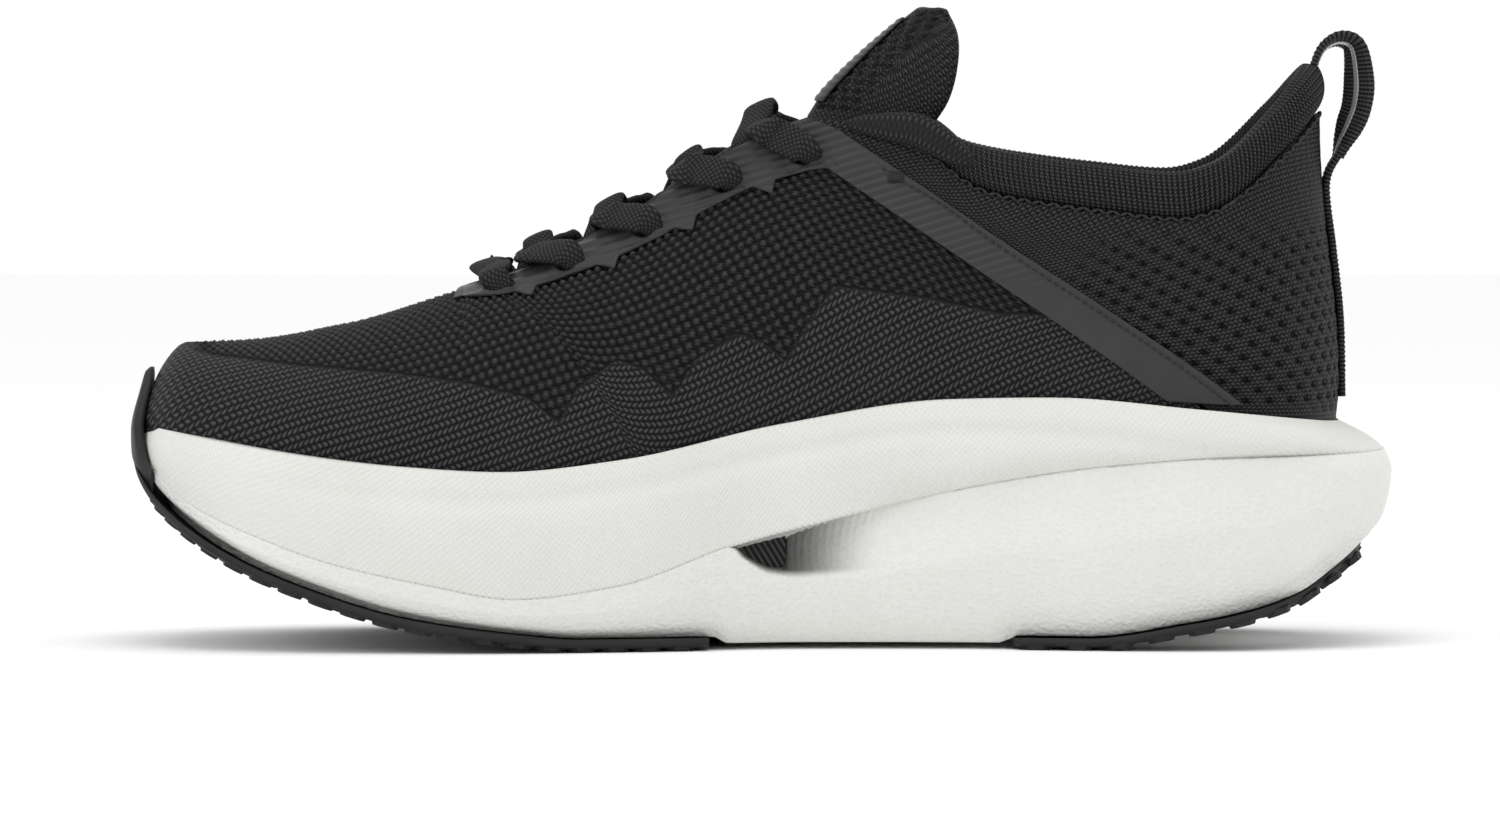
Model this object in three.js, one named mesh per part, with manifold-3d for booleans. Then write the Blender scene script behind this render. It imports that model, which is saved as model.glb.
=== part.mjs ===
// A right-foot running shoe, millimetres, +Z up: the toe points to -X, the heel to +X, the arch side is -Y.
import * as THREE from "three";
import { mergeVertices } from "three/addons/utils/BufferGeometryUtils.js";
import Module from "manifold-3d";

// ---- driving dimensions ----
const LENGTH = 300; // toe to heel
const BALL_WIDTH = 112; // widest, across the ball of the foot
const HEIGHT = 152; // ground to the tip of the tongue
const CLEARANCE = 0.35; // between neighbouring pieces
const MESH = 2.0; // upper fabric
const FILM = 0.6; // bonded overlays
const RIM = 3.2; // foam rim that holds the foot of the upper
const FOAM_EDGE = 9; // outer band in which the two foams meet
const RUBBER = 2.7; // tread
const PLATE = 1.2; // carbon plate
const PLATE_INSET = 12; // plate edge to the sole's side
const BOARD = 1.8; // sewn-in board under the foot
const INSOLE = 4.5;
const PUFF = 0.9; // toe stiffener
const COUNTER = 1.3; // heel stiffener
const PAD = 5; // collar foam
const LINING = 0.8;
const CUFF = 6; // ribbed collar, folded and filled
const CUFF_HEIGHT = 11;
const TONGUE = 3;
const TAB = 4.5; // padded tip of the tongue
const EYESTAY_WIDTH = 13;
const STRAP_WIDTH = 17; // saddle strap, measured along the shoe
const LACE = 3; // diameter that the flat lace bundles to
const EYELET = 5.6; // hole for one pass of the lace
const EYELET_EDGE = 8; // throat edge to the middle of an eyelet
const TAPE_WIDTH = 9.5; // heel webbing
const TAPE = 1.8;
const STRIPE = 1.6; // reflective line woven on the pull loop
const AGLET = 3.2; // diameter of the lace tips
const AGLET_LENGTH = 18;

// The last's lines are drawn in millimetres for a 300 x 112 x 152 shoe, and graded by these ratios.
const LONG = LENGTH / 300;
const WIDE = BALL_WIDTH / 112;
const TALL = HEIGHT / 152;

// Curved pieces stray from one another more on a larger shoe, so the gaps between them grow with it.
const GROWN = Math.max(LONG, WIDE, 1);
const SOFT_GAP = 0.6 * GROWN; // between curved soft layers
const LAID_GAP = CLEARANCE * GROWN ** 3; // between a piece and what it is laid on

const { clamp, lerp, degToRad } = THREE.MathUtils;
const V = (x, y, z) => new THREE.Vector3(x, y, z);
const UP = V(0, 0, 1);
const MEDIAL = -1;
const LATERAL = 1;

// A smooth line through [x, value] keys that never overshoots them.
function line(scale, ...keys) {
  const xs = keys.map(([x]) => x * LONG);
  const vs = keys.map(([, v]) => v * scale);
  const steps = vs.slice(1).map((v, i) => (v - vs[i]) / (xs[i + 1] - xs[i]));
  const slopes = vs.map((_, i) => {
    const before = steps[Math.max(i - 1, 0)];
    const after = steps[Math.min(i, steps.length - 1)];
    return before * after <= 0 ? 0 : (2 * before * after) / (before + after);
  });
  return (x) => {
    let i = 0;
    while (i < xs.length - 2 && x > xs[i + 1]) i++;
    const w = xs[i + 1] - xs[i];
    const t = clamp((x - xs[i]) / w, 0, 1);
    const rise = vs[i + 1] - vs[i];
    const bend = (1 - t) * (slopes[i] * w - rise) + t * (rise - slopes[i + 1] * w);
    return vs[i] + rise * t + t * (1 - t) * bend;
  };
}

// ---- the last's lines ----
const TOE = -147 * LONG; // foam ends, at the sole's widest level
const HEEL = 150 * LONG;
const TOE_ROUND = 52 * LONG;
const HEEL_ROUND = 40 * LONG;
const ROUNDNESS = 2.2;
const SPINE_TOE = -112 * LONG; // the sole's surfaces close on a line between these
const SPINE_HEEL = 112 * LONG;
const RIDGE_TOE = -136 * LONG; // front and back ends of the upper's top line
const COLLAR_HEEL = 133.3 * LONG;
const THROAT = -70 * LONG; // front end of the lacing gap
const THROAT_ROUND = 12 * LONG;
const COLLAR_ROUND = 33 * LONG;

const centreY = line(WIDE, [-150, -9], [-60, 0], [20, 5], [100, 0.5], [150, 2]);
const soleHalf = {
  [MEDIAL]: line(WIDE, [-150, 46], [-100, 50], [-65, 54.5], [-30, 51], [10, 43.5], [50, 43], [95, 46.5], [150, 46]),
  [LATERAL]: line(WIDE, [-150, 47], [-95, 54], [-45, 57], [25, 46], [70, 45], [100, 46.5], [150, 45]),
};
const groundZ = line(
  TALL, [-150, 46], [-147, 38], [-141, 30.7], [-124, 19.3], [-108, 12.5], [-84, 5.2], [-59, 1.5], [-42, 0], [-14, 0],
  [60, 0], [76, 0], [99.5, 3.3], [114, 6.2], [126, 10.2], [135, 16], [142, 21.4], [146, 26.2], [149, 32.1], [150, 37],
);
const plateZ = line(
  TALL, [-138, 35.5], [-120, 26.5], [-100, 19.5], [-77, 14.5], [-57, 13], [-30, 15.5], [0, 22], [30, 26.5], [60, 29],
  [100, 31], [125, 34], [141, 37],
);
const creaseZ = line(
  TALL, [-147, 45.5], [-143, 41], [-135, 34.5], [-120, 27.5], [-100, 20.5], [-77, 15.5], [-58, 12.4], [-34, 15.2],
  [-7, 24.5], [16, 30.5], [33, 34.5], [57, 39.3], [80, 42.9], [104, 44.8], [150, 45.7],
);
const bedZ = line(TALL, [-147, 42], [-120, 37], [-90, 34], [-62, 33], [-30, 34], [0, 36.5], [40, 39.5], [80, 41], [140, 42]);
const featherZ = line(
  TALL, [-147, 52.3], [-134, 50], [-110, 46.2], [-86, 43.6], [-62, 42.4], [-34, 45], [4, 52.9], [45, 58.8], [71, 59.3],
  [104, 56.7], [138, 53.6], [150, 52.6],
);
const topZ = line(
  TALL, [-136, 71.4], [-124, 71.6], [-98, 75.7], [-71, 83.8], [-61, 86.5], [-44, 94.5], [-27, 104], [-10, 115.5],
  [0, 120.5], [16, 124.5], [34, 125], [50, 118.5], [60, 116.3], [80, 113.6], [97, 112], [106, 114], [124, 127.5],
  [133.3, 136.7],
);
const rimInset = line(1, [-147, 0.5], [-110, 1.5], [100, 1.8], [130, 4], [150, 9.5]);
const ridgeY = line(WIDE, [-136, -9], [-70, -7], [0, -2], [60, 0.5], [133, 1.5]);
const throatHalf = line(WIDE, [-70, 9], [-45, 12], [0, 15], [30, 22], [50, 27], [75, 31.5], [100, 31], [133, 30]);
// Handles of each section's curve, from the feather line up to the top line.
const rise = line(1, [-136, 0.62], [-70, 0.6], [0, 0.5], [80, 0.38], [133, 0.3]);
const bulge = line(WIDE, [-136, 0], [0, 0], [60, 2], [133, 3]);
const reach = line(1, [-136, 0.55], [-70, 0.55], [-20, 0.5], [20, 0.36], [60, 0.2], [100, 0.1], [133, 0]);
const pinch = line(WIDE, [-136, 0], [60, 0], [100, -1.5], [133, -3.3]);
const fall = line(1, [-136, 0], [-70, 0.02], [-45, 0.14], [0, 0.25], [60, 0.35], [133, 0.36]);

// ---- stations: u runs from 0 at the toe to 1 at the heel, on each side ----
const STATIONS = 36;
const along = (u) => (1 - Math.cos(Math.PI * u)) / 2;
const stationAt = (x, toe, heel) => Math.acos(clamp(1 - (2 * (x - toe)) / (heel - toe), -1, 1)) / Math.PI;

function stationsBetween(from, to) {
  const inside = [];
  for (let i = 0; i <= STATIONS; i++)
    if (i / STATIONS > from + 0.004 && i / STATIONS < to - 0.004) inside.push(i / STATIONS);
  return [from, ...inside, to];
}
const steps = (n, from = 0, to = 1) => Array.from({ length: n + 1 }, (_, i) => lerp(from, to, i / n));

// ---- sole outline: a point of one side, set in from the sole's edge ----
function outline(side, u, inset) {
  const toe = TOE + inset;
  const heel = HEEL - inset;
  const x = lerp(toe, heel, along(u));
  const front = clamp((toe + TOE_ROUND - x) / TOE_ROUND, 0, 1);
  const back = clamp((x - heel + HEEL_ROUND) / HEEL_ROUND, 0, 1);
  const cap = ((1 - front ** ROUNDNESS) * (1 - back ** ROUNDNESS)) ** (1 / ROUNDNESS);
  return V(x, centreY(x) + side * (soleHalf[side](x) - inset) * cap, 0);
}

function spine(u, inset) {
  const x = clamp(outline(MEDIAL, u, inset).x, SPINE_TOE, SPINE_HEEL);
  return V(x, centreY(x), 0);
}

// From the edge (across 0) to the spine (across 1), at the height that a line gives.
function solePoint(side, u, inset, across, height) {
  const p = outline(side, u, inset).lerp(spine(u, inset), across);
  return p.setZ(height(p.x));
}

// ---- the upper's skin: h is -1 at the bed, 0 at the feather line, 1 at the top line ----
const upperInset = (u) => rimInset(outline(MEDIAL, u, 0).x) + RIM + SOFT_GAP;

function feather(side, u) {
  const p = outline(side, u, upperInset(u));
  return p.setZ(featherZ(p.x));
}

function topLine(side, u) {
  const x = lerp(RIDGE_TOE, COLLAR_HEEL, along(u));
  const front = clamp((THROAT + THROAT_ROUND - x) / THROAT_ROUND, 0, 1);
  const back = clamp((x - COLLAR_HEEL + COLLAR_ROUND) / COLLAR_ROUND, 0, 1);
  const half = throatHalf(x) * Math.sqrt(1 - front ** 2) * (1 - back ** ROUNDNESS) ** (1 / ROUNDNESS);
  return V(x, ridgeY(x) + side * half, topZ(x));
}

function skin(side, u, h) {
  const b = feather(side, u);
  if (h < 0) return b.setZ(lerp(featherZ(b.x), bedZ(b.x) + CLEARANCE, -h));
  const t = topLine(side, u);
  const tall = t.z - b.z;
  const out = V(b.x - t.x, b.y - t.y, 0);
  const away = out.clone().normalize();
  const low = b.clone().addScaledVector(UP, rise(t.x) * tall).addScaledVector(away, bulge(t.x));
  const high = t.clone().addScaledVector(out, reach(t.x)).addScaledVector(away, pinch(t.x));
  high.z -= fall(t.x) * tall;
  return new THREE.CubicBezierCurve3(b, low, high, t).getPoint(h);
}

const NUDGE = 1e-3;
function outward(side, u, height) {
  const h = Math.min(height, 1);
  const forward = skin(side, Math.min(u + NUDGE, 1), h).sub(skin(side, Math.max(u - NUDGE, 0), h));
  const upward = skin(side, u, Math.min(h + NUDGE, 1)).sub(skin(side, u, h - NUDGE));
  const n = forward.cross(upward).multiplyScalar(-side);
  const onCentre = u < NUDGE || u > 1 - NUDGE || (h > 1 - NUDGE && topLine(side, u).x < THROAT);
  if (onCentre) n.y = 0;
  return n.normalize();
}
const onSkin = (side, u, h, depth) => skin(side, u, h).addScaledVector(outward(side, u, h), depth);

// The station of a point of the skin that lies at x, h up its section.
const skinStation = (x, h) =>
  stationAt(x, lerp(feather(MEDIAL, 0).x, RIDGE_TOE, clamp(h, 0, 1)), lerp(feather(MEDIAL, 1).x, COLLAR_HEEL, clamp(h, 0, 1)));
const topStation = (x) => stationAt(x * LONG, RIDGE_TOE, COLLAR_HEEL);

// How far h falls over a distance measured down the skin from the top line.
function hOver(side, u, distance) {
  const speed = skin(side, u, 1).distanceTo(skin(side, u, 0.9)) / 0.1;
  return distance / speed;
}

// ---- building closed solids ----
function build(write) {
  const positions = [];
  const seen = new Map();
  const faces = [];
  const vertex = (p) => {
    const key = [p.x, p.y, p.z].map((c) => Math.round(c * 200)).join();
    if (!seen.has(key)) {
      seen.set(key, positions.length / 3);
      positions.push(p.x, p.y, p.z);
    }
    return seen.get(key);
  };
  const face = (a, b, c) => a !== b && b !== c && c !== a && faces.push([a, b, c]);
  write(vertex, face, faces);
  const g = new THREE.BufferGeometry();
  g.setAttribute("position", new THREE.Float32BufferAttribute(positions, 3));
  g.setIndex(signedVolume(positions, faces) < 0 ? faces.flatMap(([a, b, c]) => [a, c, b]) : faces.flat());
  return g;
}

function signedVolume(positions, faces) {
  const at = (i) => V(...positions.slice(3 * i, 3 * i + 3));
  return faces.reduce((sum, [a, b, c]) => sum + at(a).dot(at(b).cross(at(c))), 0);
}

// A wall between two grids of points: its edges are closed wherever the outer grid has an open edge.
function shell(rows, columns, outer, inner) {
  return build((vertex, face, faces) => {
    const partner = new Map();
    const ids = rows.map((r) =>
      columns.map((c) => {
        const id = vertex(outer(r, c));
        if (!partner.has(id)) partner.set(id, inner(r, c));
        return id;
      }),
    );
    for (let i = 0; i < rows.length - 1; i++)
      for (let j = 0; j < columns.length - 1; j++) {
        face(ids[i][j], ids[i + 1][j], ids[i + 1][j + 1]);
        face(ids[i][j], ids[i + 1][j + 1], ids[i][j + 1]);
      }
    const skinFaces = [...faces];
    const inside = new Map([...partner].map(([id, p]) => [id, vertex(p)]));
    const directed = new Set(skinFaces.flatMap(([a, b, c]) => [`${a},${b}`, `${b},${c}`, `${c},${a}`]));
    for (const [a, b, c] of skinFaces) {
      face(inside.get(a), inside.get(c), inside.get(b));
      for (const [p, q] of [[a, b], [b, c], [c, a]]) {
        if (directed.has(`${q},${p}`)) continue;
        face(q, p, inside.get(p));
        face(q, inside.get(p), inside.get(q));
      }
    }
  });
}

// A closed ring of profiles whose first and last points lie on the spine.
function ring(profile) {
  const us = steps(STATIONS);
  const round = [...us.map((u) => [MEDIAL, u]), ...us.slice().reverse().map((u) => [LATERAL, u])];
  return build((vertex, face) => {
    const ids = round.map(([side, u]) => profile(side, u).map(vertex));
    ids.forEach((row, i) => {
      const next = ids[(i + 1) % ids.length];
      for (let j = 0; j < row.length - 1; j++) {
        face(row[j], next[j], next[j + 1]);
        face(row[j], next[j + 1], row[j + 1]);
      }
    });
  });
}

// Both sides of the shoe as one run of [side, u] stations, joined at the toe or at the heel.
function bothSides(us, joinedAt) {
  const medial = us.map((u) => [MEDIAL, u]);
  const lateral = us.map((u) => [LATERAL, u]);
  return joinedAt === 0 ? [...medial.reverse(), ...lateral] : [...medial, ...lateral.reverse()];
}

const wasm = await Module();
wasm.setup();
function solidOf(geometry) {
  const bare = new THREE.BufferGeometry().setAttribute("position", geometry.getAttribute("position"));
  if (geometry.index) bare.setIndex(geometry.index);
  const merged = mergeVertices(bare.index ? bare.toNonIndexed() : bare, 1e-4);
  const vertProperties = merged.attributes.position.array;
  return new wasm.Manifold(new wasm.Mesh({ numProp: 3, vertProperties, triVerts: new Uint32Array(merged.index.array) }));
}
function geometryOf(solid) {
  const { vertProperties, triVerts } = solid.getMesh();
  const g = new THREE.BufferGeometry();
  g.setAttribute("position", new THREE.BufferAttribute(vertProperties, 3));
  return g.setIndex(new THREE.BufferAttribute(triVerts, 1));
}
const cut = (geometry, ...tools) =>
  geometryOf(tools.reduce((solid, tool) => solid.subtract(solidOf(tool)), solidOf(geometry)));
const join = (geometry, other) => geometryOf(solidOf(geometry).add(solidOf(other)));

// ---- materials ----
const finish = (color, roughness, metalness = 0) => new THREE.MeshStandardMaterial({ color, roughness, metalness });
const KNIT = finish(0x232323, 0.95);
const OVERLAY = finish(0x414242, 0.55);
const FOAM = finish(0xe4e5e0, 0.6);
const TREAD = finish(0x1b1b1c, 0.7);
const CARBON = finish(0x161719, 0.35);
const CORD = finish(0x323232, 0.85);
const LINER = finish(0x2b2b2c, 0.95);
const STIFFENER = finish(0xcfcabc, 0.8);
const SILVER = finish(0xb9bcbf, 0.4, 0.2);

const shoe = new THREE.Group();
function add(name, geometry, material) {
  const m = new THREE.Mesh(geometry, material);
  m.name = name;
  shoe.add(m);
}

// ---- sole ----
const BEVEL = 5; // the lower foam's bottom edge
const FLOOR_ROWS = steps(3); // from the edge to the spine
const foamFloor = (x) => groundZ(x) + RUBBER + SOFT_GAP;
const fromEdge = (side, u, inset, height) => {
  const p = outline(side, u, inset);
  return p.setZ(height(p.x));
};
const onSpine = (u, inset, height) => {
  const p = spine(u, inset);
  return p.setZ(height(p.x));
};

function upperFoam(side, u) {
  const rim = rimInset(outline(side, u, 0).x);
  const seam = (x) => creaseZ(x) + CLEARANCE / 2;
  const overPlate = (x) => plateZ(x) + PLATE / 2 + LAID_GAP;
  return [
    onSpine(u, FOAM_EDGE, overPlate),
    fromEdge(side, u, FOAM_EDGE, overPlate),
    fromEdge(side, u, FOAM_EDGE / 2, seam),
    fromEdge(side, u, 0, seam),
    fromEdge(side, u, rim * 0.3, (x) => lerp(seam(x), featherZ(x), 0.6)),
    fromEdge(side, u, rim, (x) => lerp(seam(x), featherZ(x), 0.95)),
    fromEdge(side, u, rim + 0.6, featherZ),
    fromEdge(side, u, rim + RIM, featherZ),
    fromEdge(side, u, rim + RIM, bedZ),
    onSpine(u, rim + RIM, bedZ),
  ];
}

function lowerFoam(side, u) {
  const seam = (x) => creaseZ(x) - CLEARANCE / 2;
  const underPlate = (x) => plateZ(x) - PLATE / 2 - LAID_GAP;
  return [
    ...FLOOR_ROWS.map((a) => solePoint(side, u, BEVEL, a, foamFloor)).reverse(),
    fromEdge(side, u, BEVEL * 0.4, (x) => lerp(foamFloor(x), seam(x), 0.25)),
    fromEdge(side, u, 0, (x) => lerp(foamFloor(x), seam(x), 0.6)),
    fromEdge(side, u, 0, seam),
    fromEdge(side, u, FOAM_EDGE / 2, seam),
    fromEdge(side, u, FOAM_EDGE, underPlate),
    onSpine(u, FOAM_EDGE, underPlate),
  ];
}

// The teardrop window in the arch side, through which the plate shows.
const WINDOW_DEPTH = 8;
function windowOutline(grow) {
  const tip = [(-7 - grow) * LONG, 24 * TALL];
  const shape = new THREE.Shape();
  shape.moveTo(...tip);
  shape.quadraticCurveTo(3 * LONG, (28 + grow) * TALL, 18 * LONG, (30.5 + grow) * TALL);
  shape.quadraticCurveTo((29 + grow) * LONG, 27 * TALL, 24 * LONG, (21 - grow) * TALL);
  shape.quadraticCurveTo(6 * LONG, (15.5 - grow) * TALL, ...tip);
  return shape;
}
function windowBlock(grow, from, to) {
  const g = new THREE.ExtrudeGeometry(windowOutline(grow), { depth: to - from, bevelEnabled: false, curveSegments: 5 });
  return g.rotateX(Math.PI / 2).translate(0, to, 0);
}
const WINDOW_X = 8 * LONG;
const windowSide = centreY(WINDOW_X) - soleHalf[MEDIAL](WINDOW_X);
const windowCut = windowBlock(0, windowSide - 10, windowSide + WINDOW_DEPTH);

const allStations = steps(STATIONS);
const wholeRound = bothSides(allStations, 1);
function slab(inset, height, thickness) {
  return shell(
    wholeRound,
    [0, 1],
    ([side, u], a) => solePoint(side, u, inset, a, height),
    ([side, u], a) => solePoint(side, u, inset, a, (x) => height(x) + thickness),
  );
}

// The plate, with a small upright wing that shows in the window.
function plate() {
  const flat = slab(PLATE_INSET, (x) => plateZ(x) - PLATE / 2, PLATE);
  const wingFace = windowSide + WINDOW_DEPTH - CLEARANCE - PLATE;
  const wing = windowBlock(-CLEARANCE * 2, wingFace, wingFace + PLATE);
  const tieLength = 12 * LONG;
  const tieReach = PLATE_INSET - WINDOW_DEPTH + 4;
  const tie = new THREE.BoxGeometry(tieLength, tieReach, PLATE * 0.6);
  tie.translate(WINDOW_X, wingFace + PLATE / 2 + tieReach / 2, plateZ(WINDOW_X));
  return join(join(flat, wing), tie);
}
const PLATE_SLOT = 2.6;
const plateSlot = new THREE.BoxGeometry(14 * LONG, PLATE_INSET, PLATE_SLOT);
plateSlot.translate(WINDOW_X, windowSide + PLATE_INSET, plateZ(WINDOW_X));

add("midsole_upper_foam", cut(ring(upperFoam), windowCut, plateSlot), FOAM);
add("midsole_lower_foam", cut(ring(lowerFoam), windowCut, plateSlot), FOAM);
add("carbon_plate", plate(), CARBON);

// Tread: the front piece turns up over the toe, the back piece is a horseshoe round the heel.
const TREAD_END = -13 * LONG;
const REAR_TREAD_START = 61 * LONG;
const TREAD_INSET = 1.2;
const WRAP_END = 0.16; // station at which the toe wrap has run down to the tread
const WRAP_LEAN = 2.6; // how far its top follows the upper back
const wrapTop = (u) => lerp(66 * TALL, 34 * TALL, Math.min(u / WRAP_END, 1) ** 1.5);

// Row -1 is the tread's edge; the others lie under the foam's own floor rows.
function treadPiece(run, rows, edgeInset) {
  const at = (lift) => ([side, u], a) => {
    const height = (x) => groundZ(x) + lift;
    return a < 0 ? fromEdge(side, u, edgeInset(u), height) : solePoint(side, u, BEVEL, a, height);
  };
  return shell(run, rows, at(0), at(RUBBER));
}
function frontTread() {
  const end = stationAt(TREAD_END, TOE, HEEL);
  const inWrap = -CLEARANCE - RUBBER * 0.7;
  const edge = (u) => lerp(inWrap, TREAD_INSET, THREE.MathUtils.smoothstep(u, WRAP_END * 0.8, WRAP_END * 1.3));
  const flat = treadPiece(bothSides(stationsBetween(0, end), 0), [-1, ...FLOOR_ROWS], edge);
  const wall = (offset) => ([side, u], t) => {
    const straight = outline(side, u, -offset);
    const foot = Math.min(groundZ(straight.x) + RUBBER * 0.3, 40 * TALL, wrapTop(u) - 6);
    const z = lerp(foot, wrapTop(u), t);
    const ledge = featherZ(straight.x);
    const lean = WRAP_LEAN * THREE.MathUtils.smoothstep(z, ledge + 1, ledge + 12);
    return outline(side, u, lean - offset).setZ(z);
  };
  const wrapRun = bothSides(stationsBetween(0, WRAP_END), 0);
  return join(flat, shell(wrapRun, steps(6), wall(CLEARANCE + RUBBER), wall(CLEARANCE)));
}
function rearTread() {
  const start = stationAt(REAR_TREAD_START, TOE, HEEL);
  return treadPiece(bothSides(stationsBetween(start, 1), 1), [-1, ...FLOOR_ROWS.slice(0, 2)], () => TREAD_INSET);
}
add("outsole_forefoot", frontTread(), TREAD);
add("outsole_heel", rearTread(), TREAD);

// ---- what lies inside, on the foam bed ----
function bedPiece(lift, thickness) {
  const at = (height) => ([side, u], a) =>
    solePoint(side, u, upperInset(u) + MESH + CLEARANCE, a, (x) => bedZ(x) + height);
  return shell(wholeRound, [0, 1], at(lift), at(lift + thickness));
}
add("strobel_board", bedPiece(SOFT_GAP, BOARD), STIFFENER);
add("insole", bedPiece(SOFT_GAP + BOARD + CLEARANCE, INSOLE), LINER);

// ---- upper ----
const SPLIT_X = -54; // where the toe piece meets the side pieces, on the top line
const STRAP_TOP = 16; // the saddle strap's middle, at the top line and at the feather line
const STRAP_FOOT = 97;
const uSplit = topStation(SPLIT_X);
const strapStation = (h, shift = 0) =>
  skinStation(lerp(STRAP_FOOT, STRAP_TOP, clamp(h, 0, 1)) * LONG + shift, h);
const hRows = [-1, ...steps(9)];

const patch = (rows, columns, place, from, to) =>
  shell(rows, columns, (r, c) => onSkin(...place(r, c), to), (r, c) => onSkin(...place(r, c), from));

const eyelets = [-62, -46, -28, -9.5, 9].map(topStation);
const eyeletH = (side, u) => 1 - hOver(side, u, EYELET_EDGE);
function eyeletHole(side, u) {
  const h = eyeletH(side, u);
  const hole = new THREE.CylinderGeometry(EYELET / 2, EYELET / 2, 16, 12);
  const turn = new THREE.Quaternion().setFromUnitVectors(V(0, 1, 0), outward(side, u, h));
  const middle = skin(side, u, h);
  return hole.applyQuaternion(turn).translate(middle.x, middle.y, middle.z);
}
const holes = (side) => eyelets.map((u) => eyeletHole(side, u));

const vamp = patch(bothSides(stationsBetween(0, uSplit), 0), hRows, ([side, u], h) => [side, u, h], -MESH, 0);
add("upper_toe", cut(vamp, eyeletHole(MEDIAL, eyelets[0]), eyeletHole(LATERAL, eyelets[0])), KNIT);

const SIDES = [["medial", MEDIAL], ["lateral", LATERAL]];
const uAfterSplit = topStation(SPLIT_X + 0.5);
for (const [name, side] of SIDES) {
  const quarter = patch(
    steps(14),
    hRows,
    (s, h) => [side, lerp(uAfterSplit, strapStation(h, -SOFT_GAP), s), h],
    -MESH,
    0,
  );
  add(`quarter_${name}`, cut(quarter, ...holes(side).slice(1)), KNIT);
}

// The knitted heel reaches up to the ribbed collar, which thins out to nothing along the throat.
const CUFF_FRONT = 28;
const CUFF_FULL = 54;
const cuffH = (side, u) => {
  const x = topLine(side, u).x;
  const grow = THREE.MathUtils.smoothstep(x, STRAP_TOP * LONG, CUFF_FULL * LONG);
  return 1 - hOver(side, u, CUFF_HEIGHT) * grow;
};
const heelRows = [-1, ...steps(9)];
function knitH(side, u, h) {
  const seam = cuffH(side, u);
  return h < 0 ? h : h * (seam < 1 ? seam - hOver(side, u, SOFT_GAP) : 1);
}
function heelKnitPlace([side, s], h) {
  // The front edge follows the strap, at the height that the row has there.
  let edge = strapStation(h, SOFT_GAP);
  for (let i = 0; i < 4; i++) edge = strapStation(knitH(side, edge, h), SOFT_GAP);
  const u = lerp(edge, 1, s);
  return [side, u, knitH(side, u, h)];
}
const heelRun = bothSides(steps(14), 1);
add("heel_knit", patch(heelRun, heelRows, heelKnitPlace, -MESH, 0), KNIT);

const cuffRun = bothSides(stationsBetween(topStation(CUFF_FRONT), 1), 1);
function cuffPoint([side, u], t, depth) {
  const full = THREE.MathUtils.smoothstep(topLine(side, u).x, (CUFF_FULL - 16) * LONG, CUFF_FULL * LONG);
  return onSkin(side, u, lerp(cuffH(side, u), 1, t), -depth * lerp(MESH, CUFF, full));
}
const cuff = shell(cuffRun, steps(2), (r, t) => cuffPoint(r, t, 0), (r, t) => cuffPoint(r, t, 1));
add("collar_cuff", cuff, KNIT);

// ---- stiffeners, padding and lining ----
const INNER = MESH + SOFT_GAP;
const puffRun = bothSides(stationsBetween(0, 0.17), 0);
add("toe_puff", patch(puffRun, steps(5, 0.02, 0.72), ([side, u], h) => [side, u, h], -INNER - PUFF, -INNER), STIFFENER);
const counterRun = bothSides(stationsBetween(0.8, 1), 1);
const counter = patch(counterRun, steps(3, 0.02, 0.42), ([side, u], h) => [side, u, h], -INNER - COUNTER, -INNER);
add("heel_counter", counter, STIFFENER);

const uPadFront = topStation(66);
const uPadBack = topStation(127);
const padTop = (side, u) => cuffH(side, u) - hOver(side, u, SOFT_GAP * 1.5);
for (const [name, side] of SIDES) {
  const place = (u, t) => [side, u, lerp(0.46, padTop(side, u), t)];
  add(`collar_pad_${name}`, patch(stationsBetween(uPadFront, uPadBack), steps(3), place, -INNER - PAD, -INNER), LINER);
}
const liningDepth = INNER + PAD + SOFT_GAP;
const liningPlace = ([side, u], t) => [side, u, lerp(0.04, padTop(side, u), t)];
const liningRun = bothSides(stationsBetween(uPadFront, 1), 1);
add("heel_lining", patch(liningRun, steps(5), liningPlace, -liningDepth - LINING, -liningDepth), LINER);

// ---- bonded overlays ----
const EYESTAY_END = 10; // where the eyestay runs into the strap
for (const [name, side] of SIDES) {
  const us = stationsBetween(topStation(-69), topStation(EYESTAY_END + 4));
  const place = (u, t) => [side, u, 1 - hOver(side, u, lerp(EYESTAY_WIDTH, 0.6, t))];
  const stay = patch(us, steps(2), place, CLEARANCE, CLEARANCE + FILM);
  add(`eyestay_${name}`, cut(stay, ...holes(side)), OVERLAY);

  const strapTopH = 1 - hOver(side, topStation(STRAP_TOP), EYESTAY_WIDTH + 1.5);
  const strapPlace = (t, a) => {
    const h = lerp(0.02, strapTopH, t);
    return [side, strapStation(h, a * STRAP_WIDTH / 2), h];
  };
  add(`saddle_strap_${name}`, patch(steps(8), steps(2, -1, 1), strapPlace, CLEARANCE, CLEARANCE + FILM), OVERLAY);
}

// ---- tongue ----
const TONGUE_DEPTH = MESH + LACE + 6 * CLEARANCE; // leaves room for the lace under the eyelets
const TONGUE_MARGIN = 17;
const CROWN = [-1, -0.5, 0, 0.5, 1];
function tongueSection(u, depth, crownDrop) {
  const edge = (side) => onSkin(side, u, 1, -depth);
  const margin = (side, distance) => onSkin(side, u, 1 - hOver(side, u, distance), -depth);
  const [m, l] = [edge(MEDIAL), edge(LATERAL)];
  const x = topLine(MEDIAL, u).x;
  const opened = THREE.MathUtils.smoothstep(x, THROAT, THROAT + THROAT_ROUND);
  const crown = topZ(x) + 1.2 * opened - lerp(TONGUE_DEPTH, 0, opened) - crownDrop;
  const middle = CROWN.map((w) => {
    const p = m.clone().lerp(l, (w + 1) / 2);
    p.z += Math.max(crown - p.z, 0) * (1 - w * w) * opened;
    return p;
  });
  return [margin(MEDIAL, TONGUE_MARGIN), margin(MEDIAL, 8), ...middle, margin(LATERAL, 8), margin(LATERAL, TONGUE_MARGIN)];
}
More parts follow.
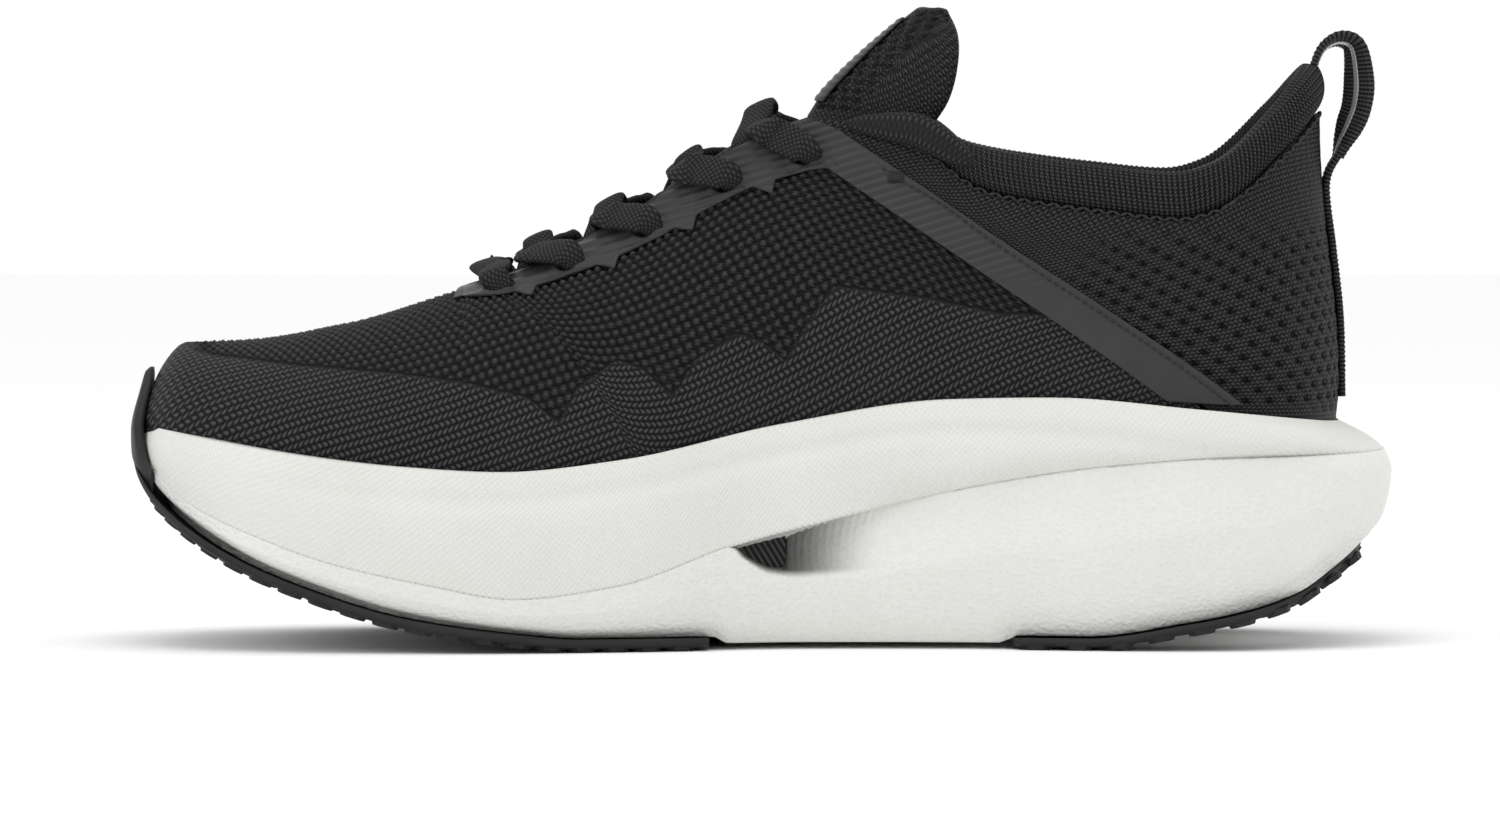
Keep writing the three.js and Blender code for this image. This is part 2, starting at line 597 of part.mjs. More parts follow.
const TONGUE_FRONT = -84;
const TONGUE_BACK = 8.8;
const tongueRun = stationsBetween(topStation(TONGUE_FRONT), topStation(TONGUE_BACK));
const sectionPoints = [0, 1, 2, 3, 4, 5, 6, 7, 8];
const tongueOuter = new Map(tongueRun.map((u) => [u, tongueSection(u, TONGUE_DEPTH, 0)]));
const tongueInner = new Map(tongueRun.map((u) => [u, tongueSection(u, TONGUE_DEPTH + TONGUE, TONGUE)]));
const tonguePanel = shell(tongueRun, sectionPoints, (u, j) => tongueOuter.get(u)[j], (u, j) => tongueInner.get(u)[j]);
add("tongue_panel", tonguePanel, KNIT);

// The padded tip: its middle follows the front line, its edges sweep back round the ankle.
const tabFront = new THREE.CatmullRomCurve3(
  [[10.8, 125], [14.6, 130.6], [21.5, 137.6], [29.8, 144.9], [38, 151.4]].map(([x, z]) => V(x * LONG, 0, z * TALL)),
);
const tabEdge = new THREE.CatmullRomCurve3(
  [[38, 19, 122.5], [42, 19.5, 129], [44, 18.5, 137], [43.5, 15, 144.5], [40, 8, 150.6]].map(([x, y, z]) =>
    V(x * LONG, y * WIDE, z * TALL),
  ),
);
function tabPoint(s, w, depth) {
  const front = tabFront.getPoint(s);
  const edge = tabEdge.getPoint(s);
  const share = Math.abs(w) ** 2.2;
  const p = front.clone().lerp(edge, share);
  p.y = ridgeY(p.x) + w * edge.y;
  const inward = V(0.78, -0.25 * w, -0.45 * (1 - share)).normalize();
  return p.addScaledVector(inward, depth);
}
const tab = (rows, columns, from, to) =>
  shell(rows, columns, (s, w) => tabPoint(s, w, from), (s, w) => tabPoint(s, w, to));
add("tongue_tab", tab(steps(8), steps(8, -1, 1), 0, TAB), KNIT);
add("tongue_strip", tab(steps(6, 0.1, 0.86), steps(2, -0.3, 0.3), -CLEARANCE - FILM, -CLEARANCE), OVERLAY);

// ---- heel webbing and pull loop ----
// A strap across the shoe's middle plane, from a path of [x, z] points.
const HEEL_Y = ridgeY(COLLAR_HEEL);
function webbing(points, width, from, to, count) {
  const path = new THREE.CatmullRomCurve3(points.map(([x, z]) => V(x * LONG, 0, z * TALL)));
  const at = (offset) => (t, y) => {
    const d = path.getTangentAt(t);
    return path.getPointAt(t).add(V(d.z * offset, HEEL_Y + y, -d.x * offset));
  };
  return shell(steps(count), [-width / 2, width / 2], at(to), at(from));
}
const loopPath = [[131.6, 138], [133.8, 141.6], [137.6, 143.1], [141, 141], [142, 133], [141.4, 127], [139.8, 122.5], [138.8, 120.4]];
add("pull_loop", webbing(loopPath, TAPE_WIDTH, -TAPE / 2, TAPE / 2, 14), KNIT);
add("loop_stripe", webbing(loopPath, STRIPE, -TAPE / 2 - CLEARANCE - FILM / 2, -TAPE / 2 - CLEARANCE, 14), SILVER);
const tapePath = [];
for (const h of [0.06, 0.3, 0.5, 0.68]) {
  const p = onSkin(MEDIAL, 1, h, LAID_GAP + TAPE / 2);
  tapePath.push([p.x / LONG, p.z / TALL]);
}
tapePath.push([137.2, 115.9], [138.1, 117.9]);
add("heel_tape", webbing(tapePath, TAPE_WIDTH, -TAPE / 2, TAPE / 2, 12), KNIT);

// ---- lace: one cord, straight across the front and crossed five times ----
class Route extends THREE.Curve {
  constructor(points) {
    super();
    this.points = points;
  }
  getPoint(t) {
    const at = t * (this.points.length - 1);
    const i = Math.min(Math.floor(at), this.points.length - 2);
    return this.points[i].clone().lerp(this.points[i + 1], at - i);
  }
  getPointAt(t) {
    return this.getPoint(t);
  }
  getTangentAt(t) {
    return this.getTangent(t);
  }
}
function cordAlong(points, diameter) {
  const section = new THREE.Shape();
  section.absarc(0, 0, diameter / 2, 0, 2 * Math.PI);
  const steps = points.length - 1;
  return new THREE.ExtrudeGeometry(section, { steps, curveSegments: 4, bevelEnabled: false, extrudePath: new Route(points) });
}

const OVER = CLEARANCE + FILM + CLEARANCE + LACE / 2; // lace over the eyestay
const UNDER = -MESH - CLEARANCE - LACE / 2; // lace between the upper and the tongue
const laceAt = (side, u, distance, depth) => onSkin(side, u, 1 - hOver(side, u, distance), depth);

// Over the tongue from one side to the other, along the line between two stations.
function crossing(fromSide, uFrom, uTo, lift) {
  return [-0.55, -0.15, 0.15, 0.5].map((w) => {
    const share = (w + 1) / 2;
    const u = lerp(uFrom, uTo, share);
    const section = tongueSection(u, TONGUE_DEPTH, 0);
    const across = -w * fromSide;
    const j = ((across + 1) / 2) * 4 + 2;
    const p = section[Math.floor(j)].clone().lerp(section[Math.ceil(j)], j - Math.floor(j));
    p.z += CLEARANCE + LACE / 2 + 1.9 + lift * (1 - w * w);
    return p;
  });
}
const slide = (u, distance) => u + distance / (LENGTH * 1.5);

// Down through an eyelet from above, back under its edge, and out into the throat.
const downAndUnder = (side, u) => [
  laceAt(side, u, -1.6, OVER + 0.3),
  laceAt(side, u, 3, OVER),
  laceAt(side, u, EYELET_EDGE - 1.6, OVER + 0.2),
  laceAt(side, u, EYELET_EDGE, 0.4),
  laceAt(side, u, EYELET_EDGE - 1.2, UNDER),
];
const outOfThroat = (side, u) => [laceAt(side, slide(u, 3), 3, UNDER), laceAt(side, slide(u, 5), -2.4, UNDER + 0.55)];

function halfLace(startSide, lift) {
  const points = [];
  let side = startSide;
  eyelets.forEach((u, i) => {
    points.push(...downAndUnder(side, u));
    if (i === eyelets.length - 1) return;
    points.push(...outOfThroat(side, u), ...crossing(side, slide(u, 6), eyelets[i + 1], lift));
    side = -side;
  });
  // The tail turns forward and lies between the tongue's margin and the quarter.
  const last = eyelets[eyelets.length - 1];
  for (const [back, distance] of [[-2, 11], [-8, 13], [-22, 13], [-36, 13], [-50, 13]])
    points.push(laceAt(side, slide(last, back), distance, UNDER));
  return points;
}
const front = [-0.9, -0.3, 0.3, 0.9].map((w) => {
  const p = laceAt(MEDIAL, eyelets[0], 1, OVER).lerp(laceAt(LATERAL, eyelets[0], 1, OVER), (w + 1) / 2);
  p.x -= 3 * LONG * (1 - w * w);
  p.z += 1.2 * (1 - w * w);
  return p;
});
const medialHalf = halfLace(MEDIAL, 0);
const lateralHalf = halfLace(LATERAL, LACE + 0.8);
const laceRoute = [...medialHalf.slice().reverse(), ...front, ...lateralHalf];
add("lace", cordAlong(laceRoute, LACE), CORD);

for (const [name, half] of [["a", medialHalf], ["b", lateralHalf]]) {
  const [before, end] = half.slice(-2);
  const ahead = end.clone().sub(before).normalize();
  const tip = [CLEARANCE, CLEARANCE + AGLET_LENGTH].map((d) => end.clone().addScaledVector(ahead, d));
  add(`aglet_${name}`, cordAlong(tip, AGLET), TREAD);
}

export default shoe;
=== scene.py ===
import math

import bmesh
import bpy
import numpy as np
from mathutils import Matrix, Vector


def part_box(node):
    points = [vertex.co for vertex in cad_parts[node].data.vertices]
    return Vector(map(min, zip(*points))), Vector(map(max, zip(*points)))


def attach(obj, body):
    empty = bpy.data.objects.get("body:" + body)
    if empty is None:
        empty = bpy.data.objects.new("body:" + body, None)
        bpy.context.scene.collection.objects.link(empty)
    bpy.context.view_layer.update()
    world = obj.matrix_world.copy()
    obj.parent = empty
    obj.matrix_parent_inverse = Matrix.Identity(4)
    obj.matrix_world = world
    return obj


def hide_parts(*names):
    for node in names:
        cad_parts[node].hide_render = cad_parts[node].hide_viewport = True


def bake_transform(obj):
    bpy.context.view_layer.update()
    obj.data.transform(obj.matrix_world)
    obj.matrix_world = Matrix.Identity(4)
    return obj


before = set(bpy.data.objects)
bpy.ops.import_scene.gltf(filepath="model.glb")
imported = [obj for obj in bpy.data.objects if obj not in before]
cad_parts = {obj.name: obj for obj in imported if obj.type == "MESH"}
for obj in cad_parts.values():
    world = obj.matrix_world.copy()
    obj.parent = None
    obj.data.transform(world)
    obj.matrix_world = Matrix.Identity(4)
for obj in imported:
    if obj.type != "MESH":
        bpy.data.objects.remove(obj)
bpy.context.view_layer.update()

# A right running shoe in metres: toe to -X, heel to +X, arch side -Y. Its lines are drawn in
# millimetres for a 300 x 114 x 151 shoe, and graded to the size of the frame.
MM = 0.001
TREAD_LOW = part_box("outsole_forefoot")[0]
HEEL_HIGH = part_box("midsole_upper_foam")[1]
LONG = (HEEL_HIGH.x - TREAD_LOW.x) / 0.30005
WIDE = 1.0
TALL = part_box("tongue_tab")[1].z / 0.1514

# ---- pieces' sizes, millimetres ----
MESH = 2.0
FILM = 0.6
RIM = 3.2
RUBBER = 2.7
SOFT_GAP = 0.6
CUFF = 6.0
CUFF_HEIGHT = 11.0
LACE_WIDTH = 7.6
LACE_THICK = 2.3
LACE_ROOM = 3.0
GAP = 0.35
EYELET_EDGE = 8.0
EYELET_RADIUS = 1.9
BEAD_ALONG = 2.05
BEAD_ACROSS = 2.45
RIB_PITCH = 1.27
FILM_RIB = 2.3
FILM_SLOPE = math.radians(17)
WEB_WIDTH = 9.5
WEB_THICK = 1.8
TONGUE_THICK = 3.0
PAD_THICK = 5.0
BOARD_THICK = 1.8
INSOLE_THICK = 4.5

MEDIAL, LATERAL = -1, 1


def line(scale, *keys):
    """A smooth line through (x, value) keys that never overshoots them."""
    xs = np.array([k[0] for k in keys], float) * LONG
    vs = np.array([k[1] for k in keys], float) * scale
    steps = np.diff(vs) / np.diff(xs)
    before = np.concatenate([steps[:1], steps])
    after = np.concatenate([steps, steps[-1:]])
    product = before * after
    slopes = np.where(product > 0, 2 * product / np.where(before + after == 0, 1, before + after), 0)

    def value(x):
        x = np.asarray(x, float)
        i = np.clip(np.searchsorted(xs, x, side="left") - 1, 0, len(xs) - 2)
        w = xs[i + 1] - xs[i]
        t = np.clip((x - xs[i]) / w, 0, 1)
        rise = vs[i + 1] - vs[i]
        bend = (1 - t) * (slopes[i] * w - rise) + t * (rise - slopes[i + 1] * w)
        return vs[i] + rise * t + t * (1 - t) * bend

    return value


def smooth(x, low, high):
    t = np.clip((np.asarray(x, float) - low) / (high - low), 0, 1)
    return t * t * (3 - 2 * t)


def mix(a, b, t):
    return a + (b - a) * t


# ---- the last's lines, as in the frame ----
TOE, HEEL = -147 * LONG, 150 * LONG
TOE_ROUND, HEEL_ROUND = 52 * LONG, 40 * LONG
ROUNDNESS = 2.2
SPINE_TOE, SPINE_HEEL = -112 * LONG, 112 * LONG
RIDGE_TOE, COLLAR_HEEL = -136 * LONG, 133.3 * LONG
THROAT, THROAT_ROUND = -70 * LONG, 12 * LONG
COLLAR_ROUND = 33 * LONG

centre_y = line(WIDE, (-150, -9), (-60, 0), (20, 5), (100, 0.5), (150, 2))
medial_half = line(
    WIDE, (-150, 46), (-100, 50), (-65, 54.5), (-30, 51), (10, 43.5), (50, 43), (95, 46.5), (150, 46),
)
lateral_half = line(WIDE, (-150, 47), (-95, 54), (-45, 57), (25, 46), (70, 45), (100, 46.5), (150, 45))
ground_z = line(
    TALL, (-150, 46), (-147, 38), (-141, 30.7), (-124, 19.3), (-108, 12.5), (-84, 5.2), (-59, 1.5), (-42, 0),
    (-14, 0), (60, 0), (76, 0), (99.5, 3.3), (114, 6.2), (126, 10.2), (135, 16), (142, 21.4), (146, 26.2),
    (149, 32.1), (150, 37),
)
crease_z = line(
    TALL, (-147, 45.5), (-143, 41), (-135, 34.5), (-120, 27.5), (-100, 20.5), (-77, 15.5), (-58, 12.4),
    (-34, 15.2), (-7, 24.5), (16, 30.5), (33, 34.5), (57, 39.3), (80, 42.9), (104, 44.8), (150, 45.7),
)
bed_z = line(
    TALL, (-147, 42), (-120, 37), (-90, 34), (-62, 33), (-30, 34), (0, 36.5), (40, 39.5), (80, 41), (140, 42),
)
feather_z = line(
    TALL, (-147, 52.3), (-134, 50), (-110, 46.2), (-86, 43.6), (-62, 42.4), (-34, 45), (4, 52.9), (45, 58.8),
    (71, 59.3), (104, 56.7), (138, 53.6), (150, 52.6),
)
top_z = line(
    TALL, (-136, 71.4), (-124, 71.6), (-98, 75.7), (-71, 83.8), (-61, 86.5), (-44, 94.5), (-27, 104),
    (-10, 115.5), (0, 120.5), (16, 124.5), (34, 125), (50, 118.5), (60, 116.3), (80, 113.6), (97, 112),
    (106, 114), (124, 127.5), (133.3, 136.7),
)
rim_inset = line(1, (-147, 0.5), (-110, 1.5), (100, 1.8), (130, 4), (150, 9.5))
ridge_y = line(WIDE, (-136, -9), (-70, -7), (0, -2), (60, 0.5), (133, 1.5))
throat_half = line(WIDE, (-70, 9), (-45, 12), (0, 15), (30, 22), (50, 27), (75, 31.5), (100, 31), (133, 30))
rise = line(1, (-136, 0.62), (-70, 0.6), (0, 0.5), (80, 0.38), (133, 0.3))
bulge = line(WIDE, (-136, 0), (0, 0), (60, 2), (133, 3))
reach = line(1, (-136, 0.55), (-70, 0.55), (-20, 0.5), (20, 0.36), (60, 0.2), (100, 0.1), (133, 0))
pinch = line(WIDE, (-136, 0), (60, 0), (100, -1.5), (133, -3.3))
fall = line(1, (-136, 0), (-70, 0.02), (-45, 0.14), (0, 0.25), (60, 0.35), (133, 0.36))


def half_width(side, x):
    return np.where(side < 0, medial_half(x), lateral_half(x))


def along(u):
    return (1 - np.cos(np.pi * u)) / 2


def station_at(x, toe, heel):
    return np.arccos(np.clip(1 - 2 * (x - toe) / (heel - toe), -1, 1)) / np.pi


def top_station(x):
    return station_at(np.asarray(x, float) * LONG, RIDGE_TOE, COLLAR_HEEL)


def points(x, y, z):
    return np.stack(np.broadcast_arrays(x, y, z), -1).astype(float)


def outline(side, u, inset):
    toe, heel = TOE + inset, HEEL - inset
    x = mix(toe, heel, along(u))
    front = np.clip((toe + TOE_ROUND - x) / TOE_ROUND, 0, 1)
    back = np.clip((x - heel + HEEL_ROUND) / HEEL_ROUND, 0, 1)
    cap = np.maximum((1 - front**ROUNDNESS) * (1 - back**ROUNDNESS), 0) ** (1 / ROUNDNESS)
    return points(x, centre_y(x) + side * (half_width(side, x) - inset) * cap, 0)


def spine(u, inset):
    x = np.clip(outline(MEDIAL, u, inset)[..., 0], SPINE_TOE, SPINE_HEEL)
    return points(x, centre_y(x), 0)


def sole_point(side, u, inset, across, height):
    p = mix(outline(side, u, inset), spine(u, inset), np.asarray(across)[..., None])
    p[..., 2] = height(p[..., 0])
    return p


def feather(side, u):
    x = outline(MEDIAL, u, 0)[..., 0]
    p = outline(side, u, rim_inset(x) + RIM + SOFT_GAP)
    p[..., 2] = feather_z(p[..., 0])
    return p


def top_line(side, u):
    x = mix(RIDGE_TOE, COLLAR_HEEL, along(u))
    front = np.clip((THROAT + THROAT_ROUND - x) / THROAT_ROUND, 0, 1)
    back = np.clip((x - COLLAR_HEEL + COLLAR_ROUND) / COLLAR_ROUND, 0, 1)
    half = throat_half(x) * np.sqrt(1 - front**2) * np.maximum(1 - back**ROUNDNESS, 0) ** (1 / ROUNDNESS)
    return points(x, ridge_y(x) + side * half, top_z(x))


def skin(side, u, h):
    """The upper's outer face: h is -1 at the bed, 0 at the foam's rim, 1 at the top line."""
    side, u, h = np.broadcast_arrays(np.asarray(side, float), np.asarray(u, float), np.asarray(h, float))
    b, t = feather(side, u), top_line(side, u)
    tall = t[..., 2] - b[..., 2]
    out = b - t
    out[..., 2] = 0
    away = out / np.maximum(np.linalg.norm(out, axis=-1, keepdims=True), 1e-9)
    tx = t[..., 0]
    low = b + away * bulge(tx)[..., None]
    low[..., 2] += rise(tx) * tall
    high = t + out * reach(tx)[..., None] + away * pinch(tx)[..., None]
    high[..., 2] -= fall(tx) * tall
    k = np.maximum(h, 0)[..., None]
    p = (1 - k) ** 3 * b + 3 * (1 - k) ** 2 * k * low + 3 * (1 - k) * k * k * high + k**3 * t
    in_foam = mix(feather_z(b[..., 0]), bed_z(b[..., 0]) + GAP, -np.minimum(h, 0))
    p[..., 2] = np.where(h < 0, in_foam, p[..., 2])
    return p


NUDGE = 1e-3


def outward(side, u, height):
    side, u, h = np.broadcast_arrays(
        np.asarray(side, float), np.asarray(u, float), np.minimum(np.asarray(height, float), 1)
    )
    forward = skin(side, np.minimum(u + NUDGE, 1), h) - skin(side, np.maximum(u - NUDGE, 0), h)
    upward = skin(side, u, h) - skin(side, u, h - NUDGE)
    n = np.cross(forward, upward) * -side[..., None]
    centre = (u < NUDGE) | (u > 1 - NUDGE) | ((h > 1 - NUDGE) & (top_line(side, u)[..., 0] < THROAT))
    n[..., 1] = np.where(centre, 0, n[..., 1])
    return n / np.maximum(np.linalg.norm(n, axis=-1, keepdims=True), 1e-12)


def on_skin(side, u, h, depth):
    return skin(side, u, h) + outward(side, u, h) * np.asarray(depth)[..., None]


def h_over(side, u, distance):
    """How far h falls over a distance measured down the skin from the top line."""
    speed = np.linalg.norm(skin(side, u, 1.0) - skin(side, u, 0.9), axis=-1) / 0.1
    return distance / speed


def skin_ends(h):
    """Where the skin starts at the toe and ends at the heel, at each height."""
    k = np.clip(h, 0, 1)
    return mix(feather(MEDIAL, 0.0)[0], RIDGE_TOE, k), mix(feather(MEDIAL, 1.0)[0], COLLAR_HEEL, k)


def skin_station(x, h):
    return station_at(x, *skin_ends(h))


def place(x, z):
    """(u, h) of the point of the arch side that lies at x and z, in drawn millimetres."""
    x, z = np.asarray(x, float) * LONG, np.asarray(z, float) * TALL
    low, high = np.zeros_like(x), np.ones_like(x)
    for _ in range(26):
        middle = (low + high) / 2
        below = skin(MEDIAL, skin_station(x, middle), middle)[..., 2] < z
        low, high = np.where(below, middle, low), np.where(below, high, middle)
    middle = (low + high) / 2
    return skin_station(x, middle), middle


# ---- making meshes ----
def new_piece(name, co, faces, uv=None, material=None, smooth_faces=True, merge=True, relief=None):
    """A mesh from points in millimetres. uv is one (u, v) in millimetres for each point; relief says how
    raised each point is, from 0 to 1, so that its material can paint shade into the hollows."""
    mesh = bpy.data.meshes.new(name)
    mesh.from_pydata((np.asarray(co) * MM).tolist(), [], faces)
    if uv is not None:
        layer = mesh.uv_layers.new(name="flat")
        corner = np.empty(len(mesh.loops), np.int32)
        mesh.loops.foreach_get("vertex_index", corner)
        layer.data.foreach_set("uv", np.asarray(uv, np.float32)[corner].ravel())
    if relief is not None:
        made = mesh.attributes.new("relief", "FLOAT", "POINT")
        made.data.foreach_set("value", np.asarray(relief, np.float32).ravel())
    bm = bmesh.new()
    bm.from_mesh(mesh)
    if merge:
        bmesh.ops.remove_doubles(bm, verts=bm.verts, dist=2e-6)
        bmesh.ops.dissolve_degenerate(bm, edges=bm.edges, dist=1e-7)
    bmesh.ops.recalc_face_normals(bm, faces=bm.faces)
    bm.to_mesh(mesh)
    bm.free()
    piece = bpy.data.objects.new(name, mesh)
    bpy.context.scene.collection.objects.link(piece)
    mesh.polygons.foreach_set("use_smooth", [smooth_faces] * len(mesh.polygons))
    if material:
        mesh.materials.append(material)
    return piece


def grid_faces(rows, columns, start=0, flip=False, wrap=False):
    i = np.arange(rows if wrap else rows - 1)[:, None]
    j = np.arange(columns - 1)[None, :]
    n = (i + 1) % rows
    quad = np.stack([i * columns + j, n * columns + j, n * columns + j + 1, i * columns + j + 1], -1) + start
    quad = quad.reshape(-1, 4)
    return (quad[:, ::-1] if flip else quad).tolist()


def shell(name, outer, inner, uv, material, coarse=1, relief=None, sealed_top=None):
    """A wall between two grids of points. The inner one takes every few of the outer one's points, and
    sealed_top says where the last column needs no wall because its two sides meet."""
    n, m = outer.shape[:2]
    k = coarse
    inner = inner[::k, ::k]
    a, b = inner.shape[:2]
    start = n * m
    faces = grid_faces(n, m) + grid_faces(a, b, start, flip=True)

    def wall(fine, rough, skip=None):
        for i in range(len(rough) - 1):
            if skip is None or not skip[min(i * k + 1, len(fine) - 1)]:
                faces.append([*fine[i * k : (i + 1) * k + 1], rough[i + 1], rough[i]])

    fine = np.arange(n * m).reshape(n, m).tolist()
    rough = (np.arange(a * b).reshape(a, b) + start).tolist()
    wall(fine[0], rough[0])
    wall(fine[-1], rough[-1])
    wall([r[0] for r in fine], [r[0] for r in rough])
    wall([r[-1] for r in fine], [r[-1] for r in rough], sealed_top)
    co = np.concatenate([outer.reshape(-1, 3), inner.reshape(-1, 3)])
    flat = np.concatenate([uv.reshape(-1, 2), uv[::k, ::k].reshape(-1, 2)])
    if relief is not None:
        relief = np.concatenate([relief.ravel(), relief[::k, ::k].ravel()])
    return new_piece(name, co, faces, flat, material, relief=relief)


def lengths(grid, axis):
    """Distance run along one axis of a grid of points, from its first row."""
    step = np.linalg.norm(np.diff(grid, axis=axis), axis=-1)
    first = np.zeros_like(np.take(step, [0], axis=axis))
    return np.cumsum(np.concatenate([first, step], axis=axis), axis=axis)


def around_heel(us):
    """(side, u) stations along the arch side and back along the outer side, joined at the heel."""
    side = np.concatenate([np.full(len(us), -1.0), np.full(len(us) - 1, 1.0)])
    return side, np.concatenate([us, us[::-1][1:]])


def tube_faces(rows, around):
    """Quads along a tube of rings, and its two closed ends."""
    faces = []
    for i in range(rows - 1):
        for j in range(around):
            k = (j + 1) % around
            faces.append([i * around + j, i * around + k, (i + 1) * around + k, (i + 1) * around + j])
    faces.append(list(range(around))[::-1])
    faces.append([(rows - 1) * around + j for j in range(around)])
    return faces


def from_holes(run, rise_by, pitch, row_height):
    """How far each point lies from the nearest hole of staggered rows, along a row and across it."""
    row = rise_by / row_height
    col = run / pitch + np.round(row) % 2 * 0.5
    return (col - np.round(col)) * pitch, (row - np.round(row)) * row_height


def ride(piece, body="shoe", replaces=()):
    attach(piece, body)
    if replaces:
        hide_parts(*replaces)
    return piece


# ---- shader maths ----
class Value:
    """A socket in a material, with arithmetic."""

    def __init__(self, finish, socket):
        self.finish, self.socket = finish, socket

    def _math(self, operation, *others):
        inputs = dict(enumerate([self, *others]))
        node = self.finish.node("ShaderNodeMath", {"operation": operation}, inputs)
        return Value(self.finish, node.outputs[0])

    def __add__(self, other):
        return self._math("ADD", other)

    __radd__ = __add__

    def __sub__(self, other):
        return self._math("SUBTRACT", other)

    def __rsub__(self, other):
        node = self.finish.node("ShaderNodeMath", {"operation": "SUBTRACT"}, {0: other, 1: self})
        return Value(self.finish, node.outputs[0])

    def __mul__(self, other):
        return self._math("MULTIPLY", other)

    __rmul__ = __mul__

    def sin(self):
        return self._math("SINE")

    def power(self, other):
        return self._math("POWER", other)

    def least(self, other):
        return self._math("MINIMUM", other)

    def most(self, other):
        return self._math("MAXIMUM", other)

    def wave(self, pitch):
        """From 0 to 1 and back over each pitch."""
        return (self * (2 * math.pi / pitch)).sin() * 0.5 + 0.5


class Finish:
    """A procedural material: a principled shader with its patterns."""

    def __init__(self, name, color, roughness, metallic=0.0, **fixed):
        self.material = bpy.data.materials.new(name)
        self.material.use_nodes = True
        self.tree = self.material.node_tree
        self.tree.nodes.clear()
        output = self.node("ShaderNodeOutputMaterial")
        self.shader = self.node("ShaderNodeBsdfPrincipled")
        self.feed(output.inputs["Surface"], self.shader.outputs[0])
        self.set("Base Color", (*color, 1))
        self.set("Roughness", roughness)
        self.set("Metallic", metallic)
        for socket, value in fixed.items():
            self.set(socket.replace("_", " "), value)
        self.bumps = None

    def node(self, kind, settings=None, inputs=None):
        made = self.tree.nodes.new(kind)
        for key, value in (settings or {}).items():
            setattr(made, key, value)
        for key, value in (inputs or {}).items():
            self.feed(made.inputs[key], value)
        return made

    def feed(self, socket, value):
        if isinstance(value, Value):
            self.tree.links.new(value.socket, socket)
        elif isinstance(value, bpy.types.NodeSocket):
            self.tree.links.new(value, socket)
        else:
            socket.default_value = value

    def set(self, socket, value):
        self.feed(self.shader.inputs[socket], value)

    def flat(self):
        """The piece's own flat coordinates, in millimetres."""
        uv = self.node("ShaderNodeUVMap", {"uv_map": "flat"})
        parts = self.node("ShaderNodeSeparateXYZ", inputs={0: uv.outputs[0]})
        return Value(self, parts.outputs[0]), Value(self, parts.outputs[1])

    def spot(self):
        return self.node("ShaderNodeTexCoord").outputs["Object"]

    def noise(self, size, detail=2.0, vector=None):
        """Cloudy pattern from 0 to 1; size in millimetres."""
        scale = 1 / (size * MM) if vector is None else 1 / size
        inputs = {"Vector": vector or self.spot(), "Scale": scale, "Detail": detail}
        return Value(self, self.node("ShaderNodeTexNoise", inputs=inputs).outputs[0])

    def cells(self, size):
        inputs = {"Vector": self.spot(), "Scale": 1 / (size * MM)}
        return Value(self, self.node("ShaderNodeTexVoronoi", inputs=inputs).outputs["Distance"])

    def attribute(self, name):
        return Value(self, self.node("ShaderNodeAttribute", {"attribute_name": name}).outputs["Fac"])

    def shade(self, dark, light, factor):
        """A colour between dark and light, by the factor."""
        inputs = {0: factor, 6: (*dark, 1), 7: (*light, 1)}
        made = self.node("ShaderNodeMix", {"data_type": "RGBA"}, inputs)
        self.set("Base Color", made.outputs[2])

    def bump(self, height, depth, strength=1.0):
        """Relief of a depth in millimetres."""
        inputs = {"Height": height, "Distance": depth * MM, "Strength": strength}
        if self.bumps is not None:
            inputs["Normal"] = self.bumps.outputs[0]
        self.bumps = self.node("ShaderNodeBump", inputs=inputs)
        self.set("Normal", self.bumps.outputs[0])


# The yarn is black: the darker colour is also the painted shade in its hollows, and the grey one is painted
# light, the sheen on raised beads, ribs and stitches.
BLACK_YARN = (0.0015, 0.0015, 0.0016)
LIT_YARN = (0.062, 0.062, 0.063)


def foam_finish(name, pebbled):
    f = Finish(name, (0.77, 0.78, 0.74), 0.5)
    if pebbled:
        grain = f.cells(0.95)
        f.bump(grain, 0.3, 0.8)
    else:
        u, v = f.flat()
        hatch = ((u + v).wave(1.5) * 0.5 + (u - v).wave(1.5) * 0.5).power(1.6)
        f.bump(hatch, 0.22, 0.85)
        grain = hatch
    soil = f.noise(26, 3)
    tone = (soil * 0.7 + grain * 0.35).least(1.0)
    if pebbled:
        # Painted shade: the relief attribute darkens the lower foam's scoop near the plate window.
        raised = f.attribute("relief").power(1.7)
        f.shade((0.02, 0.02, 0.019), (0.73, 0.735, 0.70), (raised * (tone * 0.12 + 0.9)).least(1.0))
    else:
        f.shade((0.63, 0.635, 0.595), (0.74, 0.745, 0.715), tone)
    f.bump(f.noise(60, 2), 1.2, 0.25)
    return f.material


def rubber_finish():
    f = Finish("tread rubber", (0.011, 0.011, 0.012), 0.6, Specular_IOR_Level=0.3)
    f.bump(f.noise(0.5, 2), 0.05, 0.5)
    f.shade((0.008, 0.008, 0.009), (0.022, 0.022, 0.023), f.noise(9, 4))
    return f.material


def yarn_finish(
    name, along_pitch, across_pitch, depth=0.12, shade=(BLACK_YARN, LIT_YARN), relief=None, beaded=False,
):
    """Knitted or woven yarn: slanted stitches in rows. Beaded cloth is woven only where its relief is -1."""
    f = Finish(name, shade[0], 0.55, Specular_IOR_Level=0.1)
    u, v = f.flat()
    stagger = (v * (math.pi / across_pitch)).sin() * 0.35
    stitch = (u + stagger * along_pitch).wave(along_pitch) * v.wave(across_pitch)
    fuzz = f.noise(0.28, 2)
    raised = f.attribute(relief) if relief else 1
    if beaded:
        woven = (raised * -1).most(0)
        raised = raised.most(0).power(1.4) + woven * 0.62
        stitch = stitch * woven + (1 - woven) * 0.47
    height = stitch + fuzz * 0.5
    f.bump(height, depth, 0.9)
    # Painted light and shade: the colour follows the stitches' height, lighter on their tops and darker
    # between them, and the relief darkens the hollows between beads, ribs and pits.
    tone = stitch * 1.7 + fuzz * 0.4 + f.noise(14, 2) * 0.1 - 0.24
    if relief:
        tone = raised * (tone * 1.2 + 0.06)
    f.shade(*shade, tone)
    return f.material


